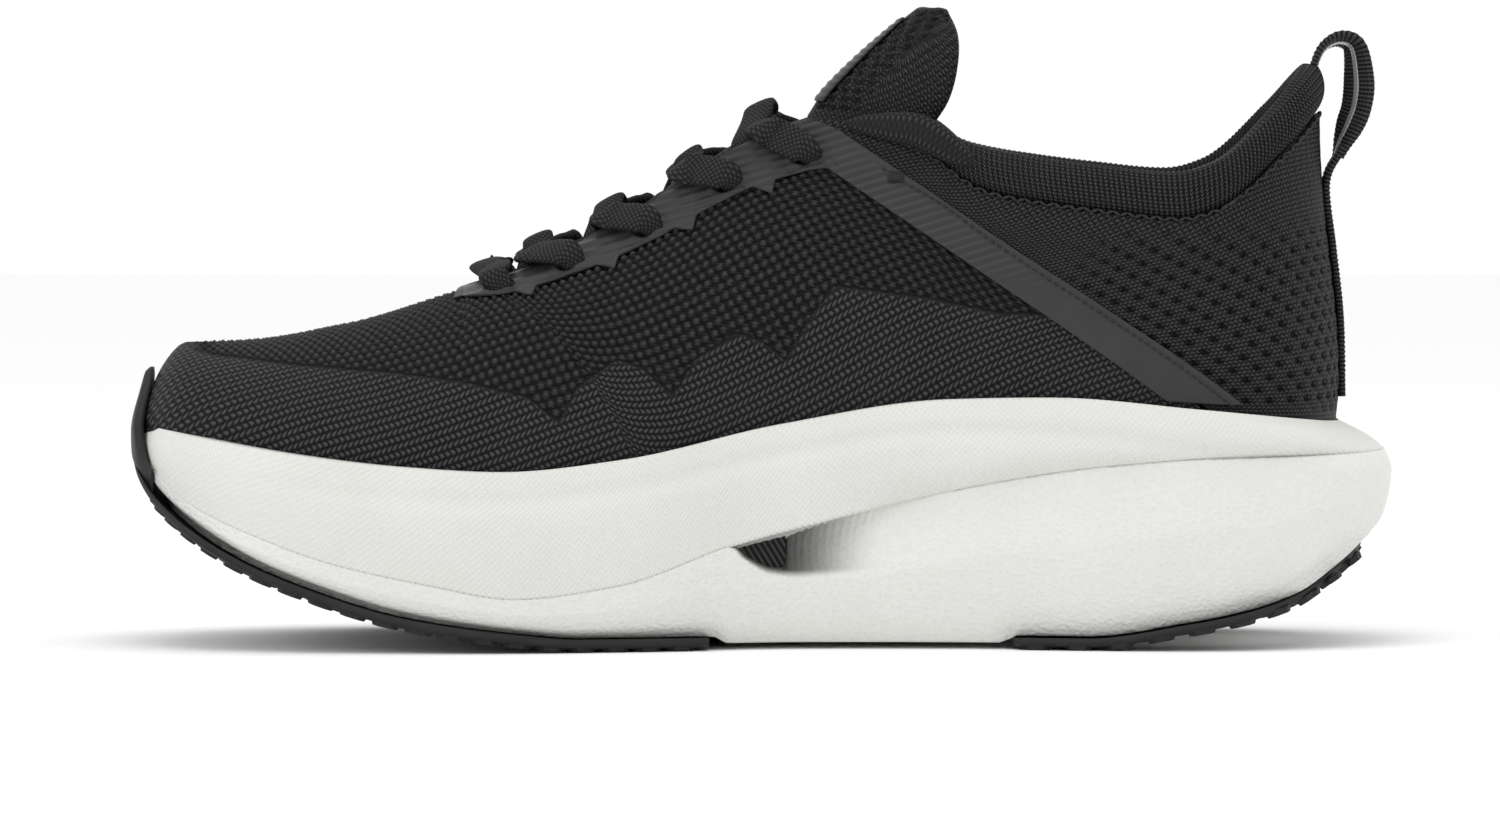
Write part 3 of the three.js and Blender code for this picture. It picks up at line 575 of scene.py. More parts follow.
def film_finish():
    f = Finish("bonded film", (0.036, 0.037, 0.037), 0.42, Specular_IOR_Level=0.18)
    f.bump(f.noise(0.45, 2), 0.02, 0.6)
    f.shade((0.030, 0.031, 0.031), (0.042, 0.043, 0.043), f.noise(7, 3))
    return f.material


def plain_finish(name, color, roughness, grain=0.6, depth=0.05, metallic=0.0):
    f = Finish(name, color, roughness, metallic)
    speckle = f.noise(grain, 3)
    f.bump(speckle, depth, 0.6)
    f.shade(tuple(c * 0.8 for c in color), tuple(min(c * 1.2, 1) for c in color), speckle)
    return f.material


def webbing_finish():
    f = Finish("webbing", BLACK_YARN, 0.6, Specular_IOR_Level=0.1)
    u, v = f.flat()
    weave = u.wave(0.95) + (v * (2 * math.pi / 1.1)).sin() * 0.15
    f.bump(weave, 0.16, 0.9)
    # Painted light and shade: the weave's ribs are lighter on top and darker between them.
    f.shade(BLACK_YARN, LIT_YARN, weave * 0.8 + f.noise(0.4) * 0.2)
    return f.material


def lace_finish(name):
    f = Finish(name, (0.03, 0.03, 0.031), 0.7, Specular_IOR_Level=0.08)
    u, v = f.flat()
    braid = (u + v * 0.9).wave(1.3) * (u - v * 0.9).wave(1.3)
    fuzz = f.noise(0.25, 2)
    f.bump(braid + fuzz * 0.5, 0.14, 0.9)
    # Painted light and shade: the braid's crossings are lighter on top and darker between them.
    f.shade((0.004, 0.004, 0.0042), (0.055, 0.055, 0.056), braid * 0.8 + fuzz * 0.3)
    return f.material


def carbon_finish():
    f = Finish("carbon weave", (0.012, 0.012, 0.013), 0.4, Specular_IOR_Level=0.12)
    u, v = f.flat()
    twill = (u + v * 0.6).wave(1.5)
    f.bump(twill, 0.06, 0.6)
    f.shade((0.003, 0.003, 0.0035), (0.06, 0.061, 0.064), twill.power(2.0))
    return f.material


FOAM_UPPER = foam_finish("upper foam", False)
FOAM_LOWER = foam_finish("lower foam", True)
TREAD = rubber_finish()
MESH_YARN = yarn_finish("mesh yarn", 1.3, 1.75, 0.2, relief="relief", beaded=True)
KNIT_YARN = yarn_finish("knit yarn", 1.25, 1.1, 0.18, (BLACK_YARN, (0.047, 0.047, 0.048)), relief="relief")
RIB_YARN = yarn_finish("rib yarn", 0.64, 0.9, 0.08, relief="relief")
LINING_CLOTH = yarn_finish("lining cloth", 1.1, 1.0, 0.12, (BLACK_YARN, (0.05, 0.05, 0.051)))
INSOLE_CLOTH = yarn_finish("insole cloth", 1.1, 1.1, 0.1, ((0.02, 0.02, 0.021), (0.055, 0.055, 0.057)))
FILM_SKIN = film_finish()
WEBBING = webbing_finish()
LACE_YARN = lace_finish("lace yarn")
FOLD_YARN = lace_finish("folded knit")
CARBON = carbon_finish()
SILVER = plain_finish("reflective yarn", (0.5, 0.51, 0.53), 0.35, 0.3, 0.05, 0.6)
BOARD = plain_finish("fibre board", (0.5, 0.47, 0.4), 0.9)
STIFFENER = plain_finish("stiffener", (0.33, 0.32, 0.29), 0.7)
TIP_PLASTIC = plain_finish("lace tip", (0.015, 0.015, 0.016), 0.3)
THREAD = plain_finish("seam thread", (0.008, 0.008, 0.0085), 0.7, 0.3)

# The frame's own hidden pieces keep their shape.
for node, material in {
    "carbon_plate": CARBON, "strobel_board": BOARD, "toe_puff": STIFFENER, "heel_counter": STIFFENER,
    "aglet_a": TIP_PLASTIC, "aglet_b": TIP_PLASTIC,
}.items():
    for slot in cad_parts[node].material_slots:
        slot.material = material


def spread_stations(count, toe_ease=0.12):
    """Fractions from 0 to 1, closer together where the shoe turns the toe."""
    s = np.linspace(0, 1, count)
    return s * s * (1 + toe_ease) / (s + toe_ease)


def joined(grid):
    """The arch side's grid and the outer side's as one, joined along their first station."""
    return np.concatenate([grid[0][::-1], grid[1][1:]], axis=0)


def two_sides(build):
    return [build(MEDIAL), build(LATERAL)]


# ---- camera, floor and light ----
def studio():
    camera = bpy.data.cameras.new("camera")
    camera.sensor_width = 36
    camera.lens = 252
    camera.clip_end = 20
    eye = bpy.data.objects.new("camera", camera)
    bpy.context.scene.collection.objects.link(eye)
    aim = Vector((-0.0029 * LONG, 0, 0.0548 * TALL))
    away, lift = 2.5, math.radians(2.4)
    eye.location = aim + away * Vector((0, -math.cos(lift), math.sin(lift)))
    eye.rotation_euler = (aim - eye.location).to_track_quat("-Z", "Y").to_euler()
    bpy.context.scene.camera = eye

    paper = Finish("studio paper", (0.96, 0.96, 0.96), 1.0, Specular_IOR_Level=0.0)
    paper.shade((0.955, 0.955, 0.955), (0.965, 0.965, 0.965), paper.noise(900, 1))
    floor = new_piece(
        "floor", [(-3000, -3000, 0), (3000, -3000, 0), (3000, 3000, 0), (-3000, 3000, 0)], [[0, 1, 2, 3]],
        material=paper.material, smooth_faces=False,
    )

    bpy.context.scene.view_settings.view_transform = "Standard"
    world = bpy.data.worlds.new("studio")
    world.use_nodes = True
    world.node_tree.nodes["Background"].inputs[0].default_value = (1, 1, 1, 1)
    world.node_tree.nodes["Background"].inputs[1].default_value = 1.0
    bpy.context.scene.world = world
    for name, spot, size, power in [
        ("softbox over", (-0.15, -0.35, 1.1), 0.6, 2.6),
        ("softbox front", (-0.9, -0.7, 0.7), 0.4, 1.0),
        ("softbox heel", (1.1, 0.3, 0.7), 0.4, 1.2),
    ]:
        light = bpy.data.lights.new(name, "AREA")
        light.size = size
        light.energy = power
        lamp = bpy.data.objects.new(name, light)
        lamp.location = spot
        lamp.rotation_euler = (Vector((0, 0, 0.06)) - lamp.location).to_track_quat("-Z", "Y").to_euler()
        bpy.context.scene.collection.objects.link(lamp)


# ---- repeated small shapes, by Geometry Nodes ----
def unit_tree(kind, material):
    """A tree that puts one small shape on each point of a mesh, turned by the point's own angles."""
    tree = bpy.data.node_groups.new(kind, "GeometryNodeTree")
    tree.is_modifier = True
    tree.interface.new_socket("Geometry", in_out="INPUT", socket_type="NodeSocketGeometry")
    for size in ("Long", "Wide", "High"):
        tree.interface.new_socket(size, in_out="INPUT", socket_type="NodeSocketFloat")
    tree.interface.new_socket("Geometry", in_out="OUTPUT", socket_type="NodeSocketGeometry")

    def node(made_kind, **settings):
        made = tree.nodes.new(made_kind)
        for key, value in settings.items():
            setattr(made, key, value)
        return made

    given, result = node("NodeGroupInput"), node("NodeGroupOutput")
    if kind == "stitch":
        unit = node("GeometryNodeMeshUVSphere")
        unit.inputs["Segments"].default_value = 8
        unit.inputs["Rings"].default_value = 5
        unit.inputs["Radius"].default_value = 0.5
    else:
        unit = node("GeometryNodeMeshCone")
        unit.inputs["Vertices"].default_value = 6
        unit.inputs["Radius Top"].default_value = 0.4
        unit.inputs["Radius Bottom"].default_value = 0.5
        unit.inputs["Depth"].default_value = 1.0
    sizes = node("ShaderNodeCombineXYZ")
    turns = node("GeometryNodeInputNamedAttribute", data_type="FLOAT_VECTOR")
    turns.inputs["Name"].default_value = "turn"
    spread = node("GeometryNodeInstanceOnPoints")
    real = node("GeometryNodeRealizeInstances")
    finish = node("GeometryNodeSetMaterial")
    finish.inputs["Material"].default_value = material
    link = tree.links.new
    for i, size in enumerate(("Long", "Wide", "High")):
        link(given.outputs[size], sizes.inputs[i])
    link(given.outputs["Geometry"], spread.inputs["Points"])
    link(unit.outputs["Mesh"], spread.inputs["Instance"])
    link(turns.outputs[0], spread.inputs["Rotation"])
    link(sizes.outputs[0], spread.inputs["Scale"])
    link(spread.outputs[0], real.inputs[0])
    link(real.outputs[0], finish.inputs["Geometry"])
    link(finish.outputs[0], result.inputs[0])
    return tree


def repeat(name, kind, spots, directions, normals, sizes, material):
    """One small shape at each spot, its length along the direction and its height along the normal."""
    spots = np.asarray(spots, float)
    d, n = np.asarray(directions, float), np.asarray(normals, float)
    n = n / np.linalg.norm(n, axis=1, keepdims=True)
    d = d - n * (d * n).sum(1, keepdims=True)
    d = d / np.maximum(np.linalg.norm(d, axis=1, keepdims=True), 1e-9)
    w = np.cross(n, d)
    turn = np.stack([
        np.arctan2(w[:, 2], n[:, 2]),
        np.arcsin(np.clip(-d[:, 2], -1, 1)),
        np.arctan2(d[:, 1], d[:, 0]),
    ], 1)
    mesh = bpy.data.meshes.new(name + " spots")
    mesh.from_pydata((spots * MM).tolist(), [], [])
    turns = mesh.attributes.new("turn", "FLOAT_VECTOR", "POINT")
    turns.data.foreach_set("vector", turn.astype(np.float32).ravel())
    seed = bpy.data.objects.new(name + " spots", mesh)
    bpy.context.scene.collection.objects.link(seed)
    tree = unit_tree(kind, material)
    modifier = seed.modifiers.new("repeat", "NODES")
    modifier.node_group = tree
    given = {s.name: s.identifier for s in tree.interface.items_tree if s.in_out == "INPUT"}
    for socket, size in zip(("Long", "Wide", "High"), sizes):
        modifier[given[socket]] = size * MM
    graph = bpy.context.evaluated_depsgraph_get()
    made = bpy.data.meshes.new_from_object(seed.evaluated_get(graph))
    bpy.data.objects.remove(seed)
    piece = bpy.data.objects.new(name, made)
    piece.data.name = name
    bpy.context.scene.collection.objects.link(piece)
    made.polygons.foreach_set("use_smooth", [kind == "stitch"] * len(made.polygons))
    return piece


def sweep(name, path, widths, thicks, aside, material, corners=12, squareness=2.6):
    """A flat cord or strap along a path: an oval section whose wide way is aside."""
    path = np.asarray(path, float)
    tangent = np.gradient(path, axis=0)
    tangent /= np.linalg.norm(tangent, axis=1, keepdims=True)
    aside = np.asarray(aside, float) - tangent * (np.asarray(aside) * tangent).sum(1, keepdims=True)
    aside /= np.linalg.norm(aside, axis=1, keepdims=True)
    up = np.cross(aside, tangent)
    a = np.linspace(0, 2 * math.pi, corners, endpoint=False)
    c, s = np.cos(a), np.sin(a)
    c = np.sign(c) * np.abs(c) ** (2 / squareness)
    s = np.sign(s) * np.abs(s) ** (2 / squareness)
    ring = (
        path[:, None] + aside[:, None] * (c[None, :, None] * np.asarray(widths)[:, None, None] / 2)
        + up[:, None] * (s[None, :, None] * np.asarray(thicks)[:, None, None] / 2)
    )
    run = np.repeat(lengths(path, 0), corners)
    uv = np.stack([run, np.tile(c * np.max(widths) / 2, len(path))], 1)
    return new_piece(name, ring.reshape(-1, 3), tube_faces(len(path), corners), uv, material)


def through(points, count):
    """A smooth path of even steps through points."""
    points = np.asarray(points, float)
    padded = np.concatenate([[2 * points[0] - points[1]], points, [2 * points[-1] - points[-2]]])
    fine = []
    for i in range(len(points) - 1):
        p0, p1, p2, p3 = padded[i : i + 4]
        t = np.linspace(0, 1, 16, endpoint=False)[:, None]
        bend, twist = 2 * p0 - 5 * p1 + 4 * p2 - p3, 3 * p1 - p0 - 3 * p2 + p3
        fine.append(0.5 * (2 * p1 + (p2 - p0) * t + bend * t**2 + twist * t**3))
    fine = np.concatenate([*fine, points[-1:]])
    run = lengths(fine[:, :3], 0)
    at = np.linspace(0, run[-1], count)
    return np.stack([np.interp(at, run, fine[:, k]) for k in range(fine.shape[1])], 1)


# ---- knitted upper ----
EYELET_X = (-62, -46, -28, -9.5, 9)
EYELETS = [float(top_station(x)) for x in EYELET_X]
STRAP_TOP, STRAP_FOOT = 9.0, 97.0
TOE_FULL = 2.4  # the mesh stands this much further forward over the toe
CUFF_START = 16.0
FILM_START = -73.0
HEEL_HOLES = (6.2, 3.3)  # pitch along a row, and from row to row
TIP_HOLES = (3.6, 2.6)


def strap_station(h, shift=0.0):
    return skin_station(mix(STRAP_FOOT, STRAP_TOP, np.clip(h, 0, 1)) * LONG + shift, h)


def eyelet_spot(side, u):
    return skin(side, u, 1 - h_over(side, u, EYELET_EDGE))


# Where the raised beads end and the plain twill begins: (along, height), drawn millimetres.
BEAD_EDGE = (
    (-137, 69.5), (-110, 66.7), (-86, 65), (-69.5, 62.9), (-55, 59.5), (-47.5, 53.5), (-43, 62), (-34, 68),
    (-28, 66), (-21, 59.5), (-15.5, 68), (-6, 74), (0, 72), (5.5, 67.5), (11, 77), (17, 85), (40, 82),
    (56, 78.5),
)


def bead_height(grid, run, down):
    """How raised the bead rows are, from 0 in the gaps to 1 on the beads, and how far they show."""
    x, z = grid[..., 0] / LONG, grid[..., 2] / TALL
    edge = np.interp(x, [k[0] for k in BEAD_EDGE], [k[1] for k in BEAD_EDGE])
    shown = smooth(z, edge - 0.8, edge + 1.2) * smooth(x, -139, -128)
    row = down / BEAD_ACROSS
    across = row - np.round(row)
    shift = np.round(row) * 0.42
    col = run / BEAD_ALONG + shift
    alongside = col - np.round(col)
    bead = (np.cos(2 * np.pi * alongside) * 0.5 + 0.5) ** 0.75
    return bead * (np.cos(2 * np.pi * across) * 0.5 + 0.5) ** 0.7, shown


def mesh_upper():
    s = spread_stations(430)[:, None]
    h = np.concatenate([[-0.7, -0.15], np.linspace(0, 1, 101)])[None, :]

    def one_side(side):
        end = strap_station(h, -SOFT_GAP)
        toe, heel = skin_ends(h)
        u = station_at(mix(toe, mix(toe, heel, along(end)), s), toe, heel)
        base = skin(side, u, h)
        normal = outward(side, u, h)
        down = lengths(base[:, ::-1], 1)[:, ::-1]
        run = base[..., 0]
        bead, shown = bead_height(base, run, down)
        near_top = smooth(down, 0.3, 1.4)
        band = film_width(run)
        bare = np.where(run > FILM_START * LONG, smooth(down, band - 0.6, band + 0.4), 1)
        lift = (bead * 1.15 - 0.72) * shown * near_top * bare
        lift = np.where(h < 0.004, 0, lift)
        # Painted light and shade: relief follows the bead height, lit on the beads and shaded in the gaps; -1
        # marks the plain twill.
        relief = mix(-1.0, bead, shown * bare)
        for u_hole in EYELETS:
            away = np.linalg.norm(base - eyelet_spot(side, u_hole), axis=-1)
            hole = 1 - smooth(away, EYELET_RADIUS, 2.6)
            lift = lift - 1.7 * hole
            # Painted shade in the eyelet holes.
            relief = relief * (1 - hole)
        fuller = (1 - smooth(base[..., 0], -143, -112)) * (1 - smooth(base[..., 2] / TALL, 60, 73))
        fuller = fuller * (1 + 0.75 * (1 - smooth(base[..., 2] / TALL, 52, 64)))
        base = base - fuller[..., None] * np.array([TOE_FULL, 0, 0])
        outer = base + normal * lift[..., None]
        inner = base - normal * MESH
        return outer, inner, np.stack([run, down], -1), relief

    made = two_sides(one_side)
    outer, inner, uv, relief = (joined([side[k] for side in made]) for k in range(4))
    closed = outer[:, -1, 0] < THROAT
    piece = shell("mesh_upper", outer, inner, uv, MESH_YARN, coarse=6, relief=relief, sealed_top=closed)
    ride(piece, replaces=["upper_toe", "quarter_medial", "quarter_lateral"])


CUFF_FRONT, CUFF_FULL = 28.0, 54.0


def cuff_h(side, u):
    x = top_line(side, u)[..., 0]
    return 1 - h_over(side, u, CUFF_HEIGHT) * smooth(x, CUFF_START * LONG, CUFF_FULL * LONG)


def knit_h(side, u, h):
    seam = cuff_h(side, u)
    return np.where(h < 0, h, h * np.where(seam < 1, seam - h_over(side, u, SOFT_GAP), 1))


def knit_heel():
    rows = np.concatenate([[-0.7, -0.15], np.linspace(0, 1, 130)])[None, :]
    s = np.linspace(0, 1, 170)[:, None]

    def one_side(side):
        edge = strap_station(rows, SOFT_GAP)
        for _ in range(4):
            edge = strap_station(knit_h(side, edge, rows), SOFT_GAP)
        u = mix(edge, 1, s)
        h = knit_h(side, u, rows)
        base = skin(side, u, h)
        normal = outward(side, u, h)
        run = lengths(base[::-1], 0)[::-1]
        up = lengths(base, 1)
        x, z = base[..., 0] / LONG, base[..., 2] / TALL
        a, b = from_holes(run, up, *HEEL_HOLES)
        a, b = a * 0.9 + b * 0.44, b * 0.9 - a * 0.44
        pit = np.exp(-((a / 1.4) ** 2 + (b / 0.92) ** 2) * 1.2)
        field = smooth(x + (88 - z) * 0.55, 62, 84) * (1 - smooth(z, 93, 104)) * smooth(rows, 0.01, 0.05)
        ridges = np.sin(2 * np.pi * (run + up) / 2.1) * 0.1
        lift = -1.15 * pit * field + ridges * smooth(rows, 0.0, 0.05) - 0.05
        outer = base + normal * lift[..., None]
        # Painted shade in the holes' pits, and painted light and shade along the ridges.
        relief = 0.7 - 0.7 * pit * field + ridges
        return outer, base - normal * MESH, np.stack([run, up], -1), relief

    made = two_sides(one_side)
    outer, inner, uv, relief = (joined([side[k][::-1] for side in made]) for k in range(4))
    piece = shell("knit_heel", outer, inner, uv, KNIT_YARN, relief=relief)
    ride(piece, replaces=["heel_knit"])


def ribbed_collar():
    """The folded cuff: a closed loop of knit at each station, ribbed across."""
    us = np.linspace(float(top_station(CUFF_FRONT - 6)), 1, 420)
    side, u = around_heel(us)
    top = top_line(side, u)
    run = lengths(top, 0)
    full = smooth(top[:, 0], (CUFF_FULL - 22) * LONG, CUFF_FULL * LONG)
    thick = mix(MESH + 1, CUFF, full)
    low = 1 - h_over(side, u, mix(5.0, CUFF_HEIGHT, smooth(top[:, 0], 24 * LONG, CUFF_FULL * LONG)))
    turn = np.linspace(0, 2 * math.pi, 36, endpoint=False)
    up_share = np.clip(((1 - np.cos(turn)) / 2 - 0.02) / 0.96, 0, 1)
    out_share = np.sin(turn)
    out_share = (np.sign(out_share) * np.abs(out_share) ** 0.62 + 1) / 2
    h = mix(low[:, None], 1.0, up_share[None, :])
    base = skin(side[:, None], u[:, None], h)
    normal = outward(side[:, None], u[:, None], h)
    depth = (1 - out_share[None, :]) * thick[:, None]
    rib = np.sin(2 * np.pi * run / RIB_PITCH)[:, None] * 0.24
    swell = 0.7 * np.sin(up_share * math.pi)[None, :] * full[:, None]
    push = (out_share * 2 - 1)[None, :]
    ring = base - normal * depth[..., None] + normal * ((rib + swell) * push)[..., None]
    ring[..., 2] += rib * np.maximum(up_share - 0.85, 0) * 4
    around = lengths(np.concatenate([ring, ring[:, :1]], 1), 1)[:, :-1]
    uv = np.stack([np.broadcast_to(run[:, None], around.shape), around], -1).reshape(-1, 2)
    # Painted light and shade: the ribs' crests are lighter and their valleys darker.
    raised = np.broadcast_to(rib / 0.4 + 0.5, ring.shape[:2])
    faces = tube_faces(*ring.shape[:2])
    piece = new_piece("ribbed_collar", ring.reshape(-1, 3), faces, uv, RIB_YARN, merge=False, relief=raised)
    ride(piece, replaces=["collar_cuff"])

    # The overlock seam under the cuff: a chain of small loops.
    count = int(run[-1] / 1.9)
    at = np.linspace(run[0] + 12, run[-1] - 12, count)
    su = np.interp(at, run, np.arange(len(run)))
    lo = np.floor(su).astype(int)
    hi = np.minimum(lo + 1, len(u) - 1)
    sides = side[lo]
    stations = np.where(sides == side[hi], mix(u[lo], u[hi], su - lo), 1.0)
    seam_h = np.interp(su, np.arange(len(low)), low) - h_over(sides, stations, 0.3)
    spots = on_skin(sides, stations, seam_h, 0.15)
    normals = outward(sides, stations, seam_h)
    ahead = np.gradient(spots, axis=0)
    zigzag = np.where(np.arange(count) % 2 == 0, 1.0, -1.0)[:, None]
    aim = ahead + np.cross(normals, ahead) * 0.45 * zigzag
    chain = repeat("collar_seam", "stitch", spots, aim, normals, (2.3, 0.75, 0.7), THREAD)
    ride(chain)


# ---- film ----
TEETH = (-53.9, -35.0, -17.1, 1.2)
TOOTH_LENGTH, TOOTH_DEPTH = 4.2, 3.2
BAND_WIDTH = 12.2
BAND_MARGIN = 0.5
# The strap's two edges, from the throat to its foot: (along, height), drawn millimetres.
STRAP_FRONT = ((2.6, 121.2), (88.0, 58.6))
STRAP_REAR = ((14.6, 124.0), (106.0, 57.6))


def film_width(x):
    """How far down from the throat's edge the film reaches."""
    x = np.asarray(x, float) / LONG
    width = np.full(x.shape, BAND_WIDTH)
    for tip in TEETH:
        rising = np.clip((x - (tip - TOOTH_LENGTH)) / TOOTH_LENGTH, 0, 1) * (x <= tip)
        falling = np.clip(1 - (x - tip), 0, 1) * (x > tip)
        width = width + TOOTH_DEPTH * np.maximum(rising, falling)
    return width


def film_ribs(grid, fade):
    """Fine ribs that run with the throat."""
    x, z = grid[..., 0], grid[..., 2]
    v = z * math.cos(FILM_SLOPE) - x * math.sin(FILM_SLOPE)
    return np.sin(2 * np.pi * v / (FILM_RIB * 0.82)) * 0.2 * fade


def between(ends, t):
    """(x, z) at a share t of the way from one end to the other."""
    (x_from, z_from), (x_to, z_to) = ends
    return mix(x_from, x_to, t), mix(z_from, z_to, t)


def film(side, name):
    """The bonded film: a toothed band down the throat that turns into the saddle strap."""
    # the band
    s, t = np.linspace(0, 1, 260)[:, None], np.linspace(0, 1, 34)[None, :]
    low_end, high_end = 2.0, 17.2
    down = mix(film_width(mix(FILM_START, low_end, s) * LONG), BAND_MARGIN, t)
    end_x = mix(high_end, low_end, np.clip(1 - down / 12.6, 0, 1))
    lead = FILM_START + np.clip(3 - down * 0.2, 0, 3)
    x = mix(lead, end_x, s)
    down = mix(film_width(x * LONG), BAND_MARGIN, t)
    u = top_station(x)
    h = 1 - h_over(side, u, down)
    band = film_grid(side, u, h, np.ones_like(h))
    # the strap
    t, a = np.linspace(0, 1, 250)[:, None], np.linspace(0, 1, 40)[None, :]
    front, rear = between(STRAP_FRONT, t), between(STRAP_REAR, t)
    h = np.clip(mix(place(*front)[1], place(*rear)[1], a), 0.004, 0.992)
    x_at = mix(front[0], rear[0] - 1.6 * (1 - smooth(t, 0, 0.04)), a) * LONG
    u = skin_station(x_at, h)
    z = skin(side, u, h)[..., 2] / TALL
    plain_edge = smooth(a, 0.72, 0.86) * smooth(t, 0.06, 0.14)
    strap = film_grid(side, u, h, smooth(z, 80, 93) * (1 - plain_edge))
    for grid, part, node in ((band, "throat_film", "eyestay"), (strap, "strap_film", "saddle_strap")):
        outer, inner, uv = grid
        piece = shell(f"{part}_{name}", outer, inner, uv, FILM_SKIN)
        ride(piece, replaces=[f"{node}_{name}"])

    # stitches down the strap's rear edge, and a bar tack at their top
    t = np.linspace(0.17, 0.995, 52)
    x, z = between(STRAP_REAR, t)
    h = np.clip(place(x, z - 0.4)[1], 0, 0.99)
    u = skin_station((x - 2.6) * LONG, h)
    spots = on_skin(side, u, h, 1.0)
    aims, normals = np.gradient(spots, axis=0), outward(side, u, h)
    row = repeat(f"strap_stitches_{name}", "stitch", spots, aims, normals, (1.5, 0.6, 0.55), THREAD)
    ride(row)
    bu, bh = place(30.0, 110.6)
    middle, n = on_skin(side, bu, bh, 1.05), outward(side, bu, bh)
    ahead = on_skin(side, bu + 0.01, bh, 1.05) - middle
    ahead /= np.linalg.norm(ahead)
    across = np.cross(n, ahead)
    spots = [middle + ahead * (k * 0.55) for k in np.linspace(-3, 3, 9)]
    tack = repeat(f"bar_tack_{name}", "stitch", spots, [across] * 9, [n] * 9, (3.0, 0.55, 0.6), THREAD)
    ride(tack)


def film_grid(side, u, h, fade):
    base, normal = skin(side, u, h), outward(side, u, h)
    ribs = film_ribs(base, fade)
    sunk = np.zeros(base.shape[:2])
    for u_hole in EYELETS:
        away = np.linalg.norm(base - eyelet_spot(side, u_hole), axis=-1)
        sunk = np.maximum(sunk, 1 - smooth(away, EYELET_RADIUS, 2.7))
        ribs = ribs + 0.35 * np.exp(-(((away - 3.4) / 0.8) ** 2))
    low = GAP * 0.6
    outer = base + normal * (low + FILM + ribs - 2.2 * sunk)[..., None]
    inner = base + normal * (low - 2.2 * sunk - 0.05)[..., None]
    return outer, inner, base[..., [0, 2]]


# ---- inside: insole, lining ----
def insole():
    side, u = around_heel(np.linspace(0, 1, 150))
    x = outline(MEDIAL, u, 0)[..., 0]
    inset = rim_inset(x) + RIM + SOFT_GAP + MESH + GAP
    a = np.linspace(0, 1, 20)[None, :]
    base = sole_point(side[:, None], u[:, None], inset[:, None], a, bed_z)
    lift = SOFT_GAP + BOARD_THICK + GAP
    edge = np.minimum(a / 0.12, 1)
    outer, inner = base.copy(), base.copy()
    outer[..., 2] += lift + INSOLE_THICK - 1.2 * (1 - edge) ** 2
    inner[..., 2] += lift
    spine_join = np.full(len(u), True)
    piece = shell("cushioned_insole", outer, inner, base[..., :2], INSOLE_CLOTH, sealed_top=spine_join)
    ride(piece, replaces=["insole"])


def lining():
    inner_gap = MESH + SOFT_GAP
    depth = inner_gap + PAD_THICK + SOFT_GAP
    side, u = (run[:, None] for run in around_heel(np.linspace(float(top_station(66)), 1, 110)))
    top = cuff_h(side, u) - h_over(side, u, SOFT_GAP * 1.5)
    t = np.linspace(0, 1, 40)[None, :]
    h = mix(0.04, top, t)
    swell = 1.1 * np.sin(math.pi * smooth(t, 0.45, 1.0))
    outer = on_skin(side, u, h, 0 * h - inner_gap)
    inner = on_skin(side, u, h, -depth - 0.8 - swell)
    uv = np.stack([lengths(inner, 0), lengths(inner, 1)], -1)
    piece = shell("ankle_lining", outer, inner, uv, LINING_CLOTH)
    ride(piece, replaces=["heel_lining", "collar_pad_medial", "collar_pad_lateral"])


# ---- tongue ----
TONGUE_DEPTH = MESH + LACE_ROOM + 6 * GAP
TONGUE_MARGIN = 17.0
TAB = 4.5


def tongue_section(u, depth, drop):
    """Nine points across the tongue at each station, from one margin to the other."""
    u = np.asarray(u, float)

    def margin(side, distance):
        return on_skin(side, u, 1 - h_over(side, u, distance), -np.full(u.shape, depth))

    edges = [on_skin(side, u, 1.0, -np.full(u.shape, depth)) for side in (MEDIAL, LATERAL)]
    x = top_line(MEDIAL, u)[..., 0]
    opened = smooth(x, THROAT, THROAT + THROAT_ROUND)
    crown = top_z(x) + 1.2 * opened - mix(TONGUE_DEPTH, 0, opened) - drop
    middle = []
    for w in (-1, -0.5, 0, 0.5, 1):
        p = mix(edges[0], edges[1], (w + 1) / 2)
        p[..., 2] += np.maximum(crown - p[..., 2], 0) * (1 - w * w) * opened
        middle.append(p)
    arch_side = [margin(MEDIAL, distance) for distance in (TONGUE_MARGIN, 8)]
    outer_side = [margin(LATERAL, distance) for distance in (8, TONGUE_MARGIN)]
    return np.stack([*arch_side, *middle, *outer_side], axis=1)


TAB_FRONT = ((10.8, 0, 125), (14.6, 0, 130.6), (21.5, 0, 137.6), (29.8, 0, 144.9), (38, 0, 151.4))
TAB_EDGE = ((38, 19, 122.5), (42, 19.5, 129), (44, 18.5, 137), (43.5, 15, 144.5), (40, 8, 150.6))


def tab_grid(rows, w, depth):
    scale = np.array([LONG, WIDE, TALL])
    front = through(np.array(TAB_FRONT) * scale, rows)[:, None]
    edge = through(np.array(TAB_EDGE) * scale, rows)[:, None]
    w = np.asarray(w)[None, :]
    share = np.abs(w) ** 2.2
    p = mix(front, edge, share[..., None])
    p[..., 1] = ridge_y(p[..., 0]) + w * edge[..., 1]
    inward = points(0.78 + 0 * w, -0.25 * w, -0.45 * (1 - share))
    inward = inward / np.linalg.norm(inward, axis=-1, keepdims=True)
    return p + inward * np.asarray(depth)[..., None], inward


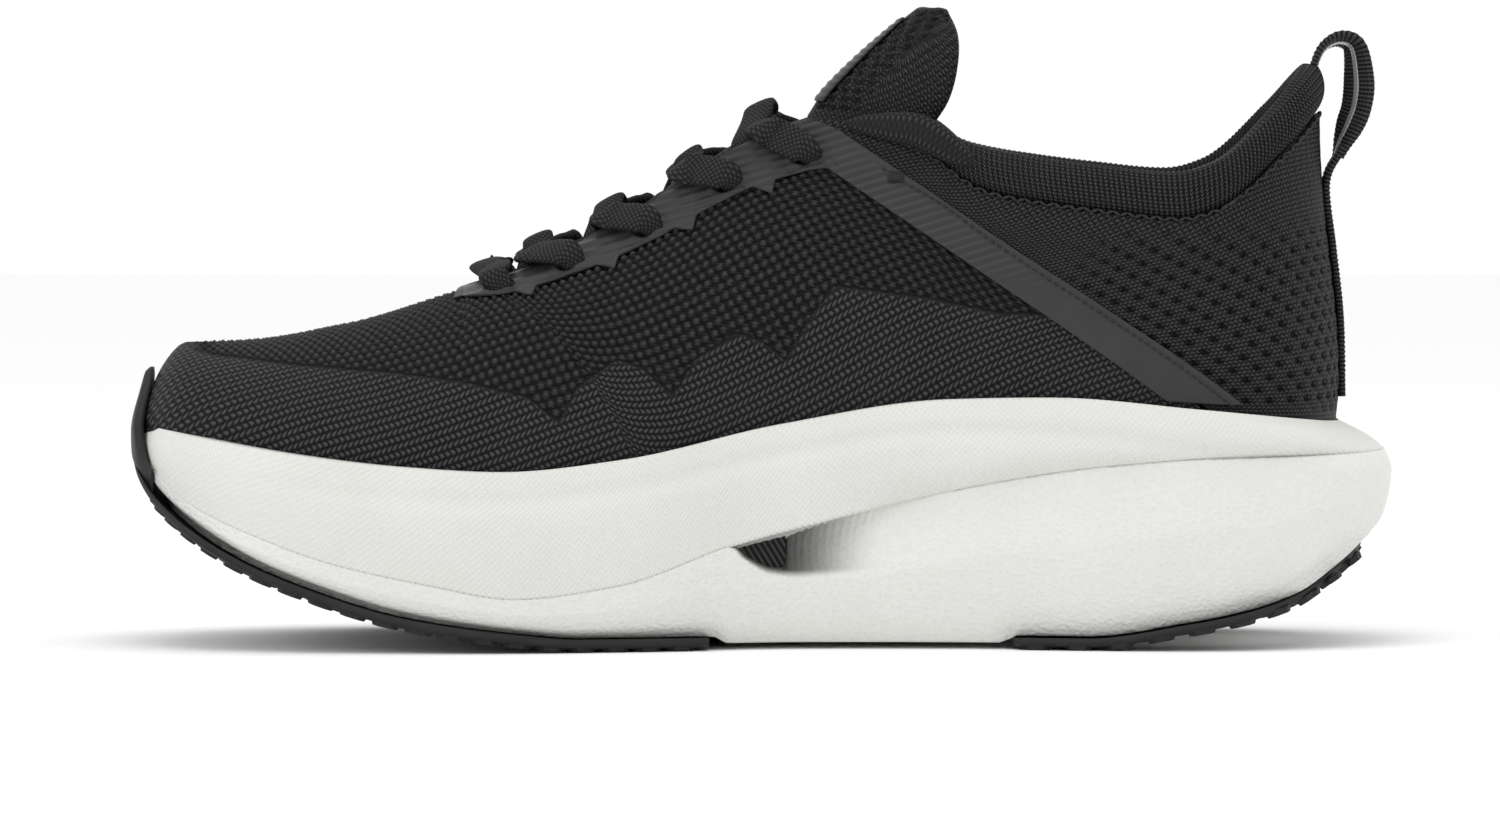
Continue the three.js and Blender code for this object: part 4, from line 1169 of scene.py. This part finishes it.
def tongue():
    """One padded sheet: under the laces, then up into the tip behind them."""
    columns, panel_rows, tab_rows, bridge_rows = 61, 60, 110, 10
    w = np.linspace(-1, 1, columns)
    us = np.linspace(float(top_station(-84)), float(top_station(7)), panel_rows)

    def panel(depth, drop):
        return np.stack([through(row, columns) for row in tongue_section(us, depth, drop)])

    outer_panel = panel(TONGUE_DEPTH, 0)
    inner_panel = panel(TONGUE_DEPTH + TONGUE_THICK, TONGUE_THICK)
    s = np.linspace(0, 1, tab_rows)[:, None]
    rim = np.minimum(np.minimum((1 - np.abs(w))[None, :] / 0.1, (1 - s) / 0.05), 1)
    rim = np.sqrt(np.clip(1 - (1 - rim) ** 2, 0, 1))
    outer_tab, inward = tab_grid(tab_rows, w, (1 - rim) * TAB / 2)
    inner_tab, _ = tab_grid(tab_rows, w, TAB / 2 + rim * TAB / 2)
    run = lengths(outer_tab, 0)
    across = lengths(outer_tab, 1)
    across = np.abs(across - across[:, columns // 2 : columns // 2 + 1])
    a, b = from_holes(across, run, *TIP_HOLES)
    pit = np.exp(-((a / 1.05) ** 2 + (b / 0.85) ** 2))
    front_half = (1 - smooth(across, 15, 18)) * smooth(across, 3.2, 4.4)
    front_half = front_half * smooth(s, 0.02, 0.08) * (1 - smooth(s, 0.9, 0.97))
    ribbed = smooth(across, 17.5, 19.5)
    ribs = np.sin(2 * np.pi * (run + across * 0.5) / 1.6) * 0.22 * ribbed
    outer_tab = outer_tab + inward * (pit * 1.3 * front_half - ribs * rim)[..., None]
    # Painted shade in the tip's pits, and painted light and shade along its ribs.
    tab_relief = 0.6 - 0.6 * pit * front_half + ribs

    def bridge(lower, upper):
        t = np.linspace(0, 1, bridge_rows + 2)[1:-1, None, None]
        start, end = lower[-1:], upper[:1]
        ahead_a = (lower[-1:] - lower[-4:-3]) * 1.5
        ahead_b = (upper[3:4] - upper[:1]) * 1.5
        hermite = (
            (2 * t**3 - 3 * t**2 + 1) * start + (t**3 - 2 * t**2 + t) * ahead_a
            + (-2 * t**3 + 3 * t**2) * end + (t**3 - t**2) * ahead_b
        )
        return np.concatenate([lower, hermite, upper])

    outer, inner = bridge(outer_panel, outer_tab), bridge(inner_panel, inner_tab)
    relief = np.full(outer.shape[:2], 0.6)
    relief[-tab_rows:] = tab_relief
    uv = np.stack([lengths(outer, 1), lengths(outer, 0)], -1)
    piece = shell("tongue", outer, inner, uv, KNIT_YARN, relief=relief)
    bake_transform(piece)
    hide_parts("tongue_panel", "tongue_tab")

    # the film strip down the tip's front
    strip_w = np.linspace(-0.3, 0.3, 24)
    keep = slice(int(tab_rows * 0.1), int(tab_rows * 0.86))
    low, inward = tab_grid(tab_rows, strip_w, np.full(24, -0.3))
    v = lengths(low, 0)
    rise_by = 0.45 + 0.12 * np.sin(2 * np.pi * v / 2.2)
    face = low - inward * rise_by[..., None]
    uv = np.stack([lengths(face, 1), v], -1)
    strip = shell("tip_film", face[keep], low[keep], uv[keep], FILM_SKIN)
    ride(strip, "tongue_tip", ["tongue_strip"])


def throat_fold(side, name):
    """The collar's front end, rolled over the top of the side."""
    x = np.linspace(20, 50.5, 60)
    u = top_station(x)
    t = np.linspace(0, 1, 60)
    radius = 0.4 + 3.3 * np.sin(np.clip(t * 1.04, 0, 1) * math.pi) ** 0.55 * mix(0.6, 1.0, t)
    drop = mix(1.5, 4.6, t)
    path = on_skin(side, u, 1 - h_over(side, u, drop), 0.2 + radius * 0.28)
    aside = outward(side, u, 0.98)
    piece = sweep(
        f"throat_fold_{name}", path, radius * 1.7, radius * 2.6, aside, FOLD_YARN, corners=24, squareness=2.2,
    )
    ride(piece)


# ---- laces ----
def lace():
    over = GAP + FILM + GAP + LACE_THICK / 2 + 0.25
    under = -MESH - GAP - LACE_ROOM / 2

    def aside_at(side, u):
        step = 0.004
        ahead = top_line(side, u + step) - top_line(side, u - step)
        return ahead / np.linalg.norm(ahead)

    def lace_at(side, u, distance, depth, width=LACE_WIDTH, thick=LACE_THICK):
        p = on_skin(side, u, 1 - h_over(side, u, distance), np.float64(depth))
        return [*p, *aside_at(side, u), width, thick]

    def crossing(from_side, u_from, u_to, lift):
        made = []
        for w in (-0.55, -0.15, 0.15, 0.5):
            u = mix(u_from, u_to, (w + 1) / 2)
            section = tongue_section(np.array([u]), TONGUE_DEPTH, 0)[0]
            j = ((-w * from_side + 1) / 2) * 4 + 2
            p = mix(section[int(math.floor(j))], section[int(math.ceil(j))], j - math.floor(j))
            p = p + np.array([0, 0, GAP + LACE_ROOM / 2 + 1.1 + lift * (1 - w * w)])
            made.append([*p, *aside_at(from_side, u), LACE_WIDTH, LACE_THICK])
        return made

    def slide(u, distance):
        return u + distance / (300 * LONG * 1.5)

    def half(start_side, lift):
        made, side = [], start_side
        for i, u in enumerate(EYELETS):
            lead = 0 if i == 0 else 1
            made += [
                lace_at(side, slide(u, -9 * lead), -0.6, over + 0.7),
                lace_at(side, slide(u, -5.5 * lead), 2.6, over + 0.75, 8.2),
                lace_at(side, slide(u, -2 * lead), 5.4, over + 0.85, 8.0, 2.6),
                lace_at(side, slide(u, 1.2 * lead), 8.0, over + 0.55, 7.2, 2.9),
                lace_at(side, slide(u, 2.0), 9.0, 0.5, 5.4, 3.0),
                lace_at(side, slide(u, 1.0), 8.4, -1.2, 4.6, 3.0),
                lace_at(side, u, EYELET_EDGE - 1.2, under, 4.6, 2.6),
            ]
            if i == len(EYELETS) - 1:
                break
            made.append(lace_at(side, slide(u, 3), 3, under, 5.2, 2.4))
            made.append(lace_at(side, slide(u, 5), -2.4, under + 0.55, 6.4))
            made += crossing(side, slide(u, 6), slide(EYELETS[i + 1], -11), lift)
            side = -side
        for back, distance in ((-2, 11), (-8, 13), (-22, 13), (-36, 13), (-50, 13)):
            made.append(lace_at(side, slide(EYELETS[-1], back), distance, under, 5.0, 2.3))
        return made

    bar = []
    ends = [np.array(lace_at(side, EYELETS[0], 1, over)) for side in (MEDIAL, LATERAL)]
    for w in (-0.9, -0.3, 0.3, 0.9):
        p = mix(ends[0], ends[1], (w + 1) / 2)
        p[0] -= 3 * LONG * (1 - w * w)
        p[2] += 1.2 * (1 - w * w)
        bar.append(p)
    halves = [np.array(half(MEDIAL, 0)), np.array(half(LATERAL, LACE_ROOM + 0.8))]
    route = through(np.concatenate([halves[0][::-1], bar, halves[1]]), 1300)
    path, aside, width, thick = route[:, :3], route[:, 3:6], route[:, 6], route[:, 7]
    piece = sweep("flat_lace", path, width, thick, aside, LACE_YARN, corners=16, squareness=2.5)
    ride(piece, replaces=["lace"])


# ---- webbing at the heel ----
HEEL_Y = float(ridge_y(COLLAR_HEEL))
LOOP_PATH = (
    (130.4, 132.5), (131.6, 138), (133.8, 141.6), (137.6, 143.1), (141, 141), (142, 133), (141.4, 127),
    (139.8, 122.5), (138.2, 118.6), (137.0, 115),
)
# The loop is turned about its own length so that its flat faces half sideways: (share of length, degrees).
LOOP_TWIST = ((0, 0), (0.2, 6), (0.42, 30), (0.6, 44), (0.82, 38), (1, 4))


def webbing(name, path, width, thick, offset, material, twist=((0, 0), (1, 0))):
    path = through([(x * LONG, HEEL_Y, z * TALL) for x, z in path], 110)
    tangent = np.gradient(path, axis=0)
    tangent /= np.linalg.norm(tangent, axis=1, keepdims=True)
    normal = np.stack([tangent[:, 2], 0 * tangent[:, 0], -tangent[:, 0]], 1)
    share = np.linspace(0, 1, len(path))
    angle = np.radians(np.interp(share, [k[0] for k in twist], [k[1] for k in twist]))
    angle = np.convolve(np.pad(angle, 5, mode="edge"), np.ones(11) / 11, "valid")[:, None]
    aside = np.cos(angle) * np.array([0.0, 1.0, 0.0]) + np.sin(angle) * normal
    up = np.cross(aside, tangent)
    up *= np.where(up[:, 1:2] > 0, -1, 1)
    path = path + up * offset
    ribs = thick * (1 + 0.16 * np.sin(2 * np.pi * lengths(path, 0) / 1.15))
    return sweep(name, path, np.full(len(path), width), ribs, aside, material, corners=20, squareness=4.5)


def heel_webbing():
    loop = webbing("loop_webbing", LOOP_PATH, WEB_WIDTH, WEB_THICK, 0, WEBBING, LOOP_TWIST)
    ride(loop, "heel_loop", ["pull_loop"])
    stripe = webbing("silver_stripe", LOOP_PATH, 1.5, 0.4, WEB_THICK / 2, SILVER, LOOP_TWIST)
    ride(stripe, "heel_loop", ["loop_stripe"])
    path = []
    for h in (0.06, 0.3, 0.5, 0.68):
        p = on_skin(MEDIAL, 1.0, h, np.float64(GAP + 0.5))
        path.append((p[0] / LONG, p[2] / TALL))
    path += [(137.2, 115.9), (138.1, 117.9)]
    tape = webbing("back_tape", path, WEB_WIDTH, WEB_THICK, 0, WEBBING)
    ride(tape, replaces=["heel_tape"])


# ---- foams ----
PLATE_HALF = 0.6
plate_z = line(
    TALL, (-138, 35.5), (-120, 26.5), (-100, 19.5), (-77, 14.5), (-57, 13), (-30, 15.5), (0, 22), (30, 26.5),
    (60, 29), (100, 31), (125, 34), (141, 37),
)
FOAM_EDGE = 9.0
BEVEL = 5.0
TREAD_END, REAR_TREAD_START = -13 * LONG, 61 * LONG
HEEL_TUCK = 1.9  # how far the foams draw in where they meet behind the heel
HEEL_TURN = 112  # the sole starts to close in behind the heel here
# The opening on the arch side that shows the plate, drawn millimetres.
WINDOW_FRONT, WINDOW_REAR, WINDOW_FLOOR = -7.6, 5.4, 15.5
WINDOW_INSET = 6.2


def eased(keys):
    """A smooth run through (t, value) keys, t from 0 to 1."""
    made = line(1, *keys)
    return lambda t: made(np.asarray(t) * LONG)


def ring_piece(name, profile, material):
    """A closed ring of profiles whose first and last points lie on the sole's middle line."""
    window = station_at(np.arange(-10, 36, 0.33) * LONG, TOE, HEEL)
    us = np.unique(np.concatenate([np.linspace(0, 1, 200), window]))
    made = [profile(side, us) for side in (MEDIAL, LATERAL)]
    grid, uv, relief = (np.concatenate([made[0][k], made[1][k][::-1]]) for k in range(3))
    faces = grid_faces(len(grid), grid.shape[1], wrap=True)
    return new_piece(name, grid.reshape(-1, 3), faces, uv.reshape(-1, 2), material, relief=relief)


def from_edge(side, u, inset, z):
    p = outline(side, u, inset)
    p[..., 2] = z
    return p


def girth(side, u):
    return lengths(outline(side, u, 0), 0)


def with_flat(rows, side, u, relief=None):
    grid = np.stack(rows, 1)
    run = np.broadcast_to(girth(side, u)[:, None], grid.shape[:2])
    relief = np.ones(grid.shape[:2]) if relief is None else np.stack(relief, 1)
    return grid, np.stack([run, lengths(grid, 1)], -1), relief


def upper_foam(side, u):
    x = outline(side, u, 0)[..., 0]
    rim = rim_inset(x)
    seam = crease_z(x)
    shape = eased([(0, 0), (0.3, 0.0), (0.5, 0.06), (0.75, 0.36), (0.9, 0.8), (1, 1.15)])
    heelward = smooth(x, HEEL_TURN, 150)
    meet = scoop_depth(x) * smooth(x, 12, 48)
    rows = [sole_point(side, u, FOAM_EDGE, 1.0, lambda v: plate_z(v) + PLATE_HALF + GAP)]
    e = outline(side, u, FOAM_EDGE)
    e[..., 2] = plate_z(e[..., 0]) + PLATE_HALF + GAP
    rows.append(e)
    rows.append(from_edge(side, u, FOAM_EDGE / 2, seam))
    top = feather_z(x)
    for t in np.linspace(0, 1, 30):
        z = mix(seam, top, t)
        below = top - z
        from_groove = (below - mix(7.0, 10.0, smooth(x, 20, 120))) / 2.3
        groove = 0.75 * np.exp(-(from_groove**2)) * smooth(x, -130, -60)
        swell = -0.5 * math.sin(math.pi * min(t * 1.1, 1))
        hug = meet * max(1 - t / 0.34, 0) ** 2
        body = mix(shape(t), 1.15 * t**1.35, heelward)
        inset = body * np.maximum(rim, 0.9) + groove + (swell + 0.5) * 0.5 + HEEL_TUCK * heelward + hug
        rows.append(from_edge(side, u, np.maximum(inset, 0), z))
    rows.append(from_edge(side, u, rim + RIM, top))
    rows.append(from_edge(side, u, rim + RIM, bed_z(x)))
    rows.append(sole_point(side, u, rim + RIM, 1.0, bed_z))
    return with_flat(rows, side, u)


# How far the lower foam is scooped in under the upper one, and where the scoop starts, along the shoe.
scoop_depth = line(
    1, (-24, 0), (-8, 0), (-6.6, 9), (4.6, 9), (6.2, 6.4), (14, 5.2), (33, 3.6), (70, 2.6), (120, 1.5),
    (142, 0.4), (150, 0.1),
)
scoop_low = line(
    TALL, (-24, 24.6), (-7.5, 24.4), (-4, 21.4), (1.9, 18.2), (9, 17.2), (23, 17.6), (60, 22), (100, 27.5),
    (150, 36),
)


def underside(x):
    """The lower foam's height: it clears the treads, and reaches lower where there is none."""
    bare = smooth(x, TREAD_END + 1, TREAD_END + 5)
    bare = bare * (1 - smooth(x, REAR_TREAD_START - 5, REAR_TREAD_START - 1))
    clear = (RUBBER + SOFT_GAP) * (1 - smooth(x, 141 * LONG, 149 * LONG))
    return ground_z(x) + clear - 1.7 * bare


def lower_foam(side, u):
    x = outline(side, u, 0)[..., 0]
    seam = crease_z(x) + 0.25
    floor_z = underside(x)
    rows = [sole_point(side, u, BEVEL, a, underside) for a in (1.0, 0.66, 0.33, 0.0)]
    relief = [np.ones_like(x)] * len(rows)
    bevel_keys = ((0, 1), (0.08, 0.66), (0.2, 0.34), (0.4, 0.1), (0.6, 0), (1, 0))
    wall = eased([(t, BEVEL * share) for t, share in bevel_keys])
    low = np.minimum(scoop_low(x), seam - 0.3)
    soft = smooth(x, 0, 36)
    tight = 1 - 0.7 * smooth(x, 136, 149)
    for t in np.linspace(0, 1, 60)[1:]:
        z = mix(floor_z, seam, t)
        share = np.clip((z - low) / (seam - low), 0, 1)
        bowl = np.sin(share ** mix(0.55, 0.9, soft) * math.pi / 2) ** mix(0.55, 1.5, soft)
        scoop = scoop_depth(x) * bowl
        rings = np.sin(2 * math.pi * (x - 0.02 * (z - 23) ** 2) / 1.75)
        scoop = scoop + 0.22 * rings * (1 - smooth(x, 14, 36)) * smooth(x, 6, 9) * smooth(share, 0.0, 0.1)
        turned = HEEL_TUCK * smooth(x, HEEL_TURN, 150) * np.clip(1 - (seam - z) / 6, 0, 1) ** 2
        rows.append(from_edge(side, u, wall(t) * tight + scoop + turned, z))
        # Painted shade: the scoop is darker near the plate window and fades out about 31 mm behind it.
        painted_scoop_shade = (1 - smooth(x, 0, 31)) ** 1.3 * smooth(share, 0.0, 0.14) * smooth(x, -8, -6)
        relief.append(1 - 0.93 * painted_scoop_shade)
    for wider, share in ((1.02, 0.4), (1.06, 1.0)):
        z = mix(seam, plate_z(x) - PLATE_HALF - GAP, share)
        rows.append(from_edge(side, u, FOAM_EDGE * wider, z))
    rows.append(sole_point(side, u, FOAM_EDGE, 1.0, lambda v: plate_z(v) - PLATE_HALF - GAP))
    relief += [np.ones_like(x)] * 3
    return with_flat(rows, side, u, relief)


def plate_window():
    """The plate's ribbed end, seen through the opening in the arch side."""
    x = np.linspace(WINDOW_FRONT, WINDOW_REAR, 90)[:, None]
    t = np.linspace(0, 1, 26)[None, :]
    z = mix(WINDOW_FLOOR, crease_z(x * LONG) / TALL + 1.2, t)
    ribs = 0.28 * np.abs(np.sin(np.pi * (x * 0.55 + z) / 1.9))
    side_y = centre_y(x * LONG) - medial_half(x * LONG) + (WINDOW_INSET - ribs)
    outer = points(x * LONG, side_y, z * TALL)
    inner = outer + np.array([0, 1.4, 0])
    uv = np.stack([np.broadcast_to(x, z.shape), z], -1)
    piece = shell("plate_window", outer, inner, uv, CARBON)
    ride(piece)


# ---- tread ----
WRAP_END = 0.16
WRAP_SHOWN = 0.075  # the wrap over the toe runs down to the tread here
TREAD_INSET = 1.2
TREAD_THIN = 0.9
SMALL_LUG, BIG_LUG = 1.2, 1.5
LUG_ROWS, LUG_PITCH = 5.2, 6.4


def tread_side(side, us, edge_rows, inset, acrosses):
    """One side of a tread, its underside and top: rows round its edge, then its flat middle."""
    rows = list(edge_rows)
    for a in acrosses:
        p = sole_point(side, us, inset, a, ground_z)
        rows.append((p + [0, 0, TREAD_THIN], p + [0, 0, RUBBER]))
    low, high = (np.stack(part, 1) for part in zip(*rows))
    return low, high, low[..., :2]


def front_tread():
    end = float(station_at(TREAD_END, TOE, HEEL))
    us = end * np.linspace(0, 1, 150) ** 1.3
    in_wrap = -GAP - RUBBER * 0.7

    def one_side(side):
        inset = mix(in_wrap, TREAD_INSET, smooth(us, WRAP_END * 0.8, WRAP_END * 1.3))
        edge = []
        for share in (1.0, 0.75, 0.5, 0.25):
            i = mix(BEVEL, inset, share)
            z = ground_z(outline(side, us, i)[..., 0])
            low = from_edge(side, us, i, z + TREAD_THIN * (0.6 + share**2.2))
            edge.append((low, from_edge(side, us, i, z + RUBBER + 0.5 * share)))
        return tread_side(side, us, edge, BEVEL, np.linspace(0, 1, 14))

    made = two_sides(one_side)
    low, high, uv = (joined([side[k] for side in made]) for k in range(3))
    piece = shell("forefoot_tread", low, high, uv, TREAD, sealed_top=np.full(len(low), True))
    ride(piece, replaces=["outsole_forefoot"])

    # the wrap over the toe
    us = np.linspace(0, WRAP_SHOWN, 70)
    t = np.linspace(0, 1, 26)[None, :]

    def wall(side, offset):
        u = us[:, None]
        straight = outline(side, u, -offset)
        top = mix(65.4 * TALL, 42 * TALL, smooth(u, 0.008, WRAP_SHOWN) ** 0.8)
        foot = np.minimum(np.minimum(ground_z(straight[..., 0]) + RUBBER * 1.3, 43 * TALL), top - 3)
        z = mix(foot, top, t)
        ledge = feather_z(straight[..., 0])
        lean = (5.3 - TOE_FULL) * smooth(z, ledge - 2, ledge + 13)
        p = outline(side, np.broadcast_to(u, z.shape), lean - offset)
        p[..., 2] = z
        return p

    fade = (1 - smooth(us, WRAP_SHOWN * 0.6, WRAP_SHOWN))[:, None]
    edge = np.sqrt(np.clip(1 - (2 * t - 1) ** 6, 0, 1))
    outs, ins = [], []
    for side in (MEDIAL, LATERAL):
        thick = RUBBER * (0.25 + 0.6 * fade) * (0.35 + 0.65 * edge)
        near, far = wall(side, GAP), wall(side, GAP + RUBBER)
        outs.append(mix(near, far, (thick / RUBBER)[..., None]))
        ins.append(near)
    outer, inner = joined(outs), joined(ins)
    uv = np.stack([lengths(outer, 0), lengths(outer, 1)], -1)
    wrap = shell("toe_wrap", outer, inner, uv, TREAD)
    ride(wrap)


def rear_tread():
    start = float(station_at(REAR_TREAD_START, TOE, HEEL))
    us = mix(start, 1, np.linspace(0, 1, 120))

    def one_side(side):
        x = outline(side, us, 0)[..., 0]
        inset = mix(TREAD_INSET + 0.6, 7.4, smooth(x, HEEL_TURN, 148))
        edge = []
        for share in (1.0, 0.7, 0.4):
            i = inset + 4 * (1 - share)
            z = ground_z(outline(side, us, i)[..., 0])
            low = from_edge(side, us, i, z + TREAD_THIN * (0.5 + share**2))
            edge.append((low, from_edge(side, us, i, z + RUBBER + 0.2 * share)))
        return tread_side(side, us, edge, inset + 4, np.linspace(0, 0.333, 8))

    made = two_sides(one_side)
    low, high, uv = (joined([side[k][::-1] for side in made]) for k in range(3))
    piece = shell("heel_tread", low, high, uv, TREAD)
    ride(piece, replaces=["outsole_heel"])


def near_tread(x):
    """Whether the front tread and the heel tread reach this far along."""
    return x < TREAD_END - 3, x > REAR_TREAD_START + 3


def ground_slope(x):
    return float(ground_z(x + 1) - ground_z(x - 1)) / 2


def lugs():
    """Small rubber lugs in staggered rows under both treads, and larger ones along their edges."""
    spots, aims, normals = [], [], []
    big_spots, big_aims, big_normals = [], [], []
    for side in (MEDIAL, LATERAL):
        for u in np.linspace(0.02, 1, 900):
            p = outline(side, np.array(u), BEVEL)
            x = float(p[0])
            in_front, in_back = near_tread(x)
            if not (in_front or in_back):
                continue
            ahead = outline(side, np.array(min(u + 0.004, 1)), BEVEL)
            ahead = ahead - outline(side, np.array(u - 0.004), BEVEL)
            far_back = 5.6 * float(smooth(x, HEEL_TURN, 148))
            edge = outline(side, np.array(u), TREAD_INSET + 2.6 + far_back)
            edge[2] = ground_z(edge[0]) + BIG_LUG
            if not big_spots or np.linalg.norm(edge - big_spots[-1]) > (9.4 if in_back else 7.6):
                big_spots.append(edge)
                big_aims.append(ahead)
                big_normals.append([ground_slope(x), 0, -1.0])
    for row, x in enumerate(np.arange(-136, 142, LUG_ROWS) * LONG):
        front, back = near_tread(x)
        if not (front or back):
            continue
        for y in np.arange(-60, 60, LUG_PITCH) + (row % 2) * LUG_PITCH / 2:
            side = MEDIAL if y < centre_y(x) else LATERAL
            u = float(station_at(x, TOE, HEEL))
            reach_y = abs(float(outline(side, np.array(u), 7.5)[1] - centre_y(x)))
            off = abs(y - float(centre_y(x)))
            inside = off < reach_y - 1.5 and (front or off > reach_y * 0.72 or x > 128 * LONG)
            if not inside:
                continue
            slope = ground_slope(x)
            spots.append([x, y, float(ground_z(x)) + SMALL_LUG])
            aims.append([1, 0, slope])
            normals.append([slope, 0, -1])
    small = repeat("tread_lugs", "lug", spots, aims, normals, (4.6, 4.2, SMALL_LUG), TREAD)
    ride(small)
    large = repeat("edge_lugs", "lug", big_spots, big_aims, big_normals, (7.4, 4.4, BIG_LUG), TREAD)
    ride(large)


studio()
ride(ring_piece("upper_foam", upper_foam, FOAM_UPPER), replaces=["midsole_upper_foam"])
ride(ring_piece("lower_foam", lower_foam, FOAM_LOWER), replaces=["midsole_lower_foam"])
plate_window()
front_tread()
rear_tread()
lugs()
insole()
lining()
mesh_upper()
knit_heel()
ribbed_collar()
tongue()
for side, name in ((MEDIAL, "medial"), (LATERAL, "lateral")):
    film(side, name)
    throat_fold(side, name)
lace()
heel_webbing()
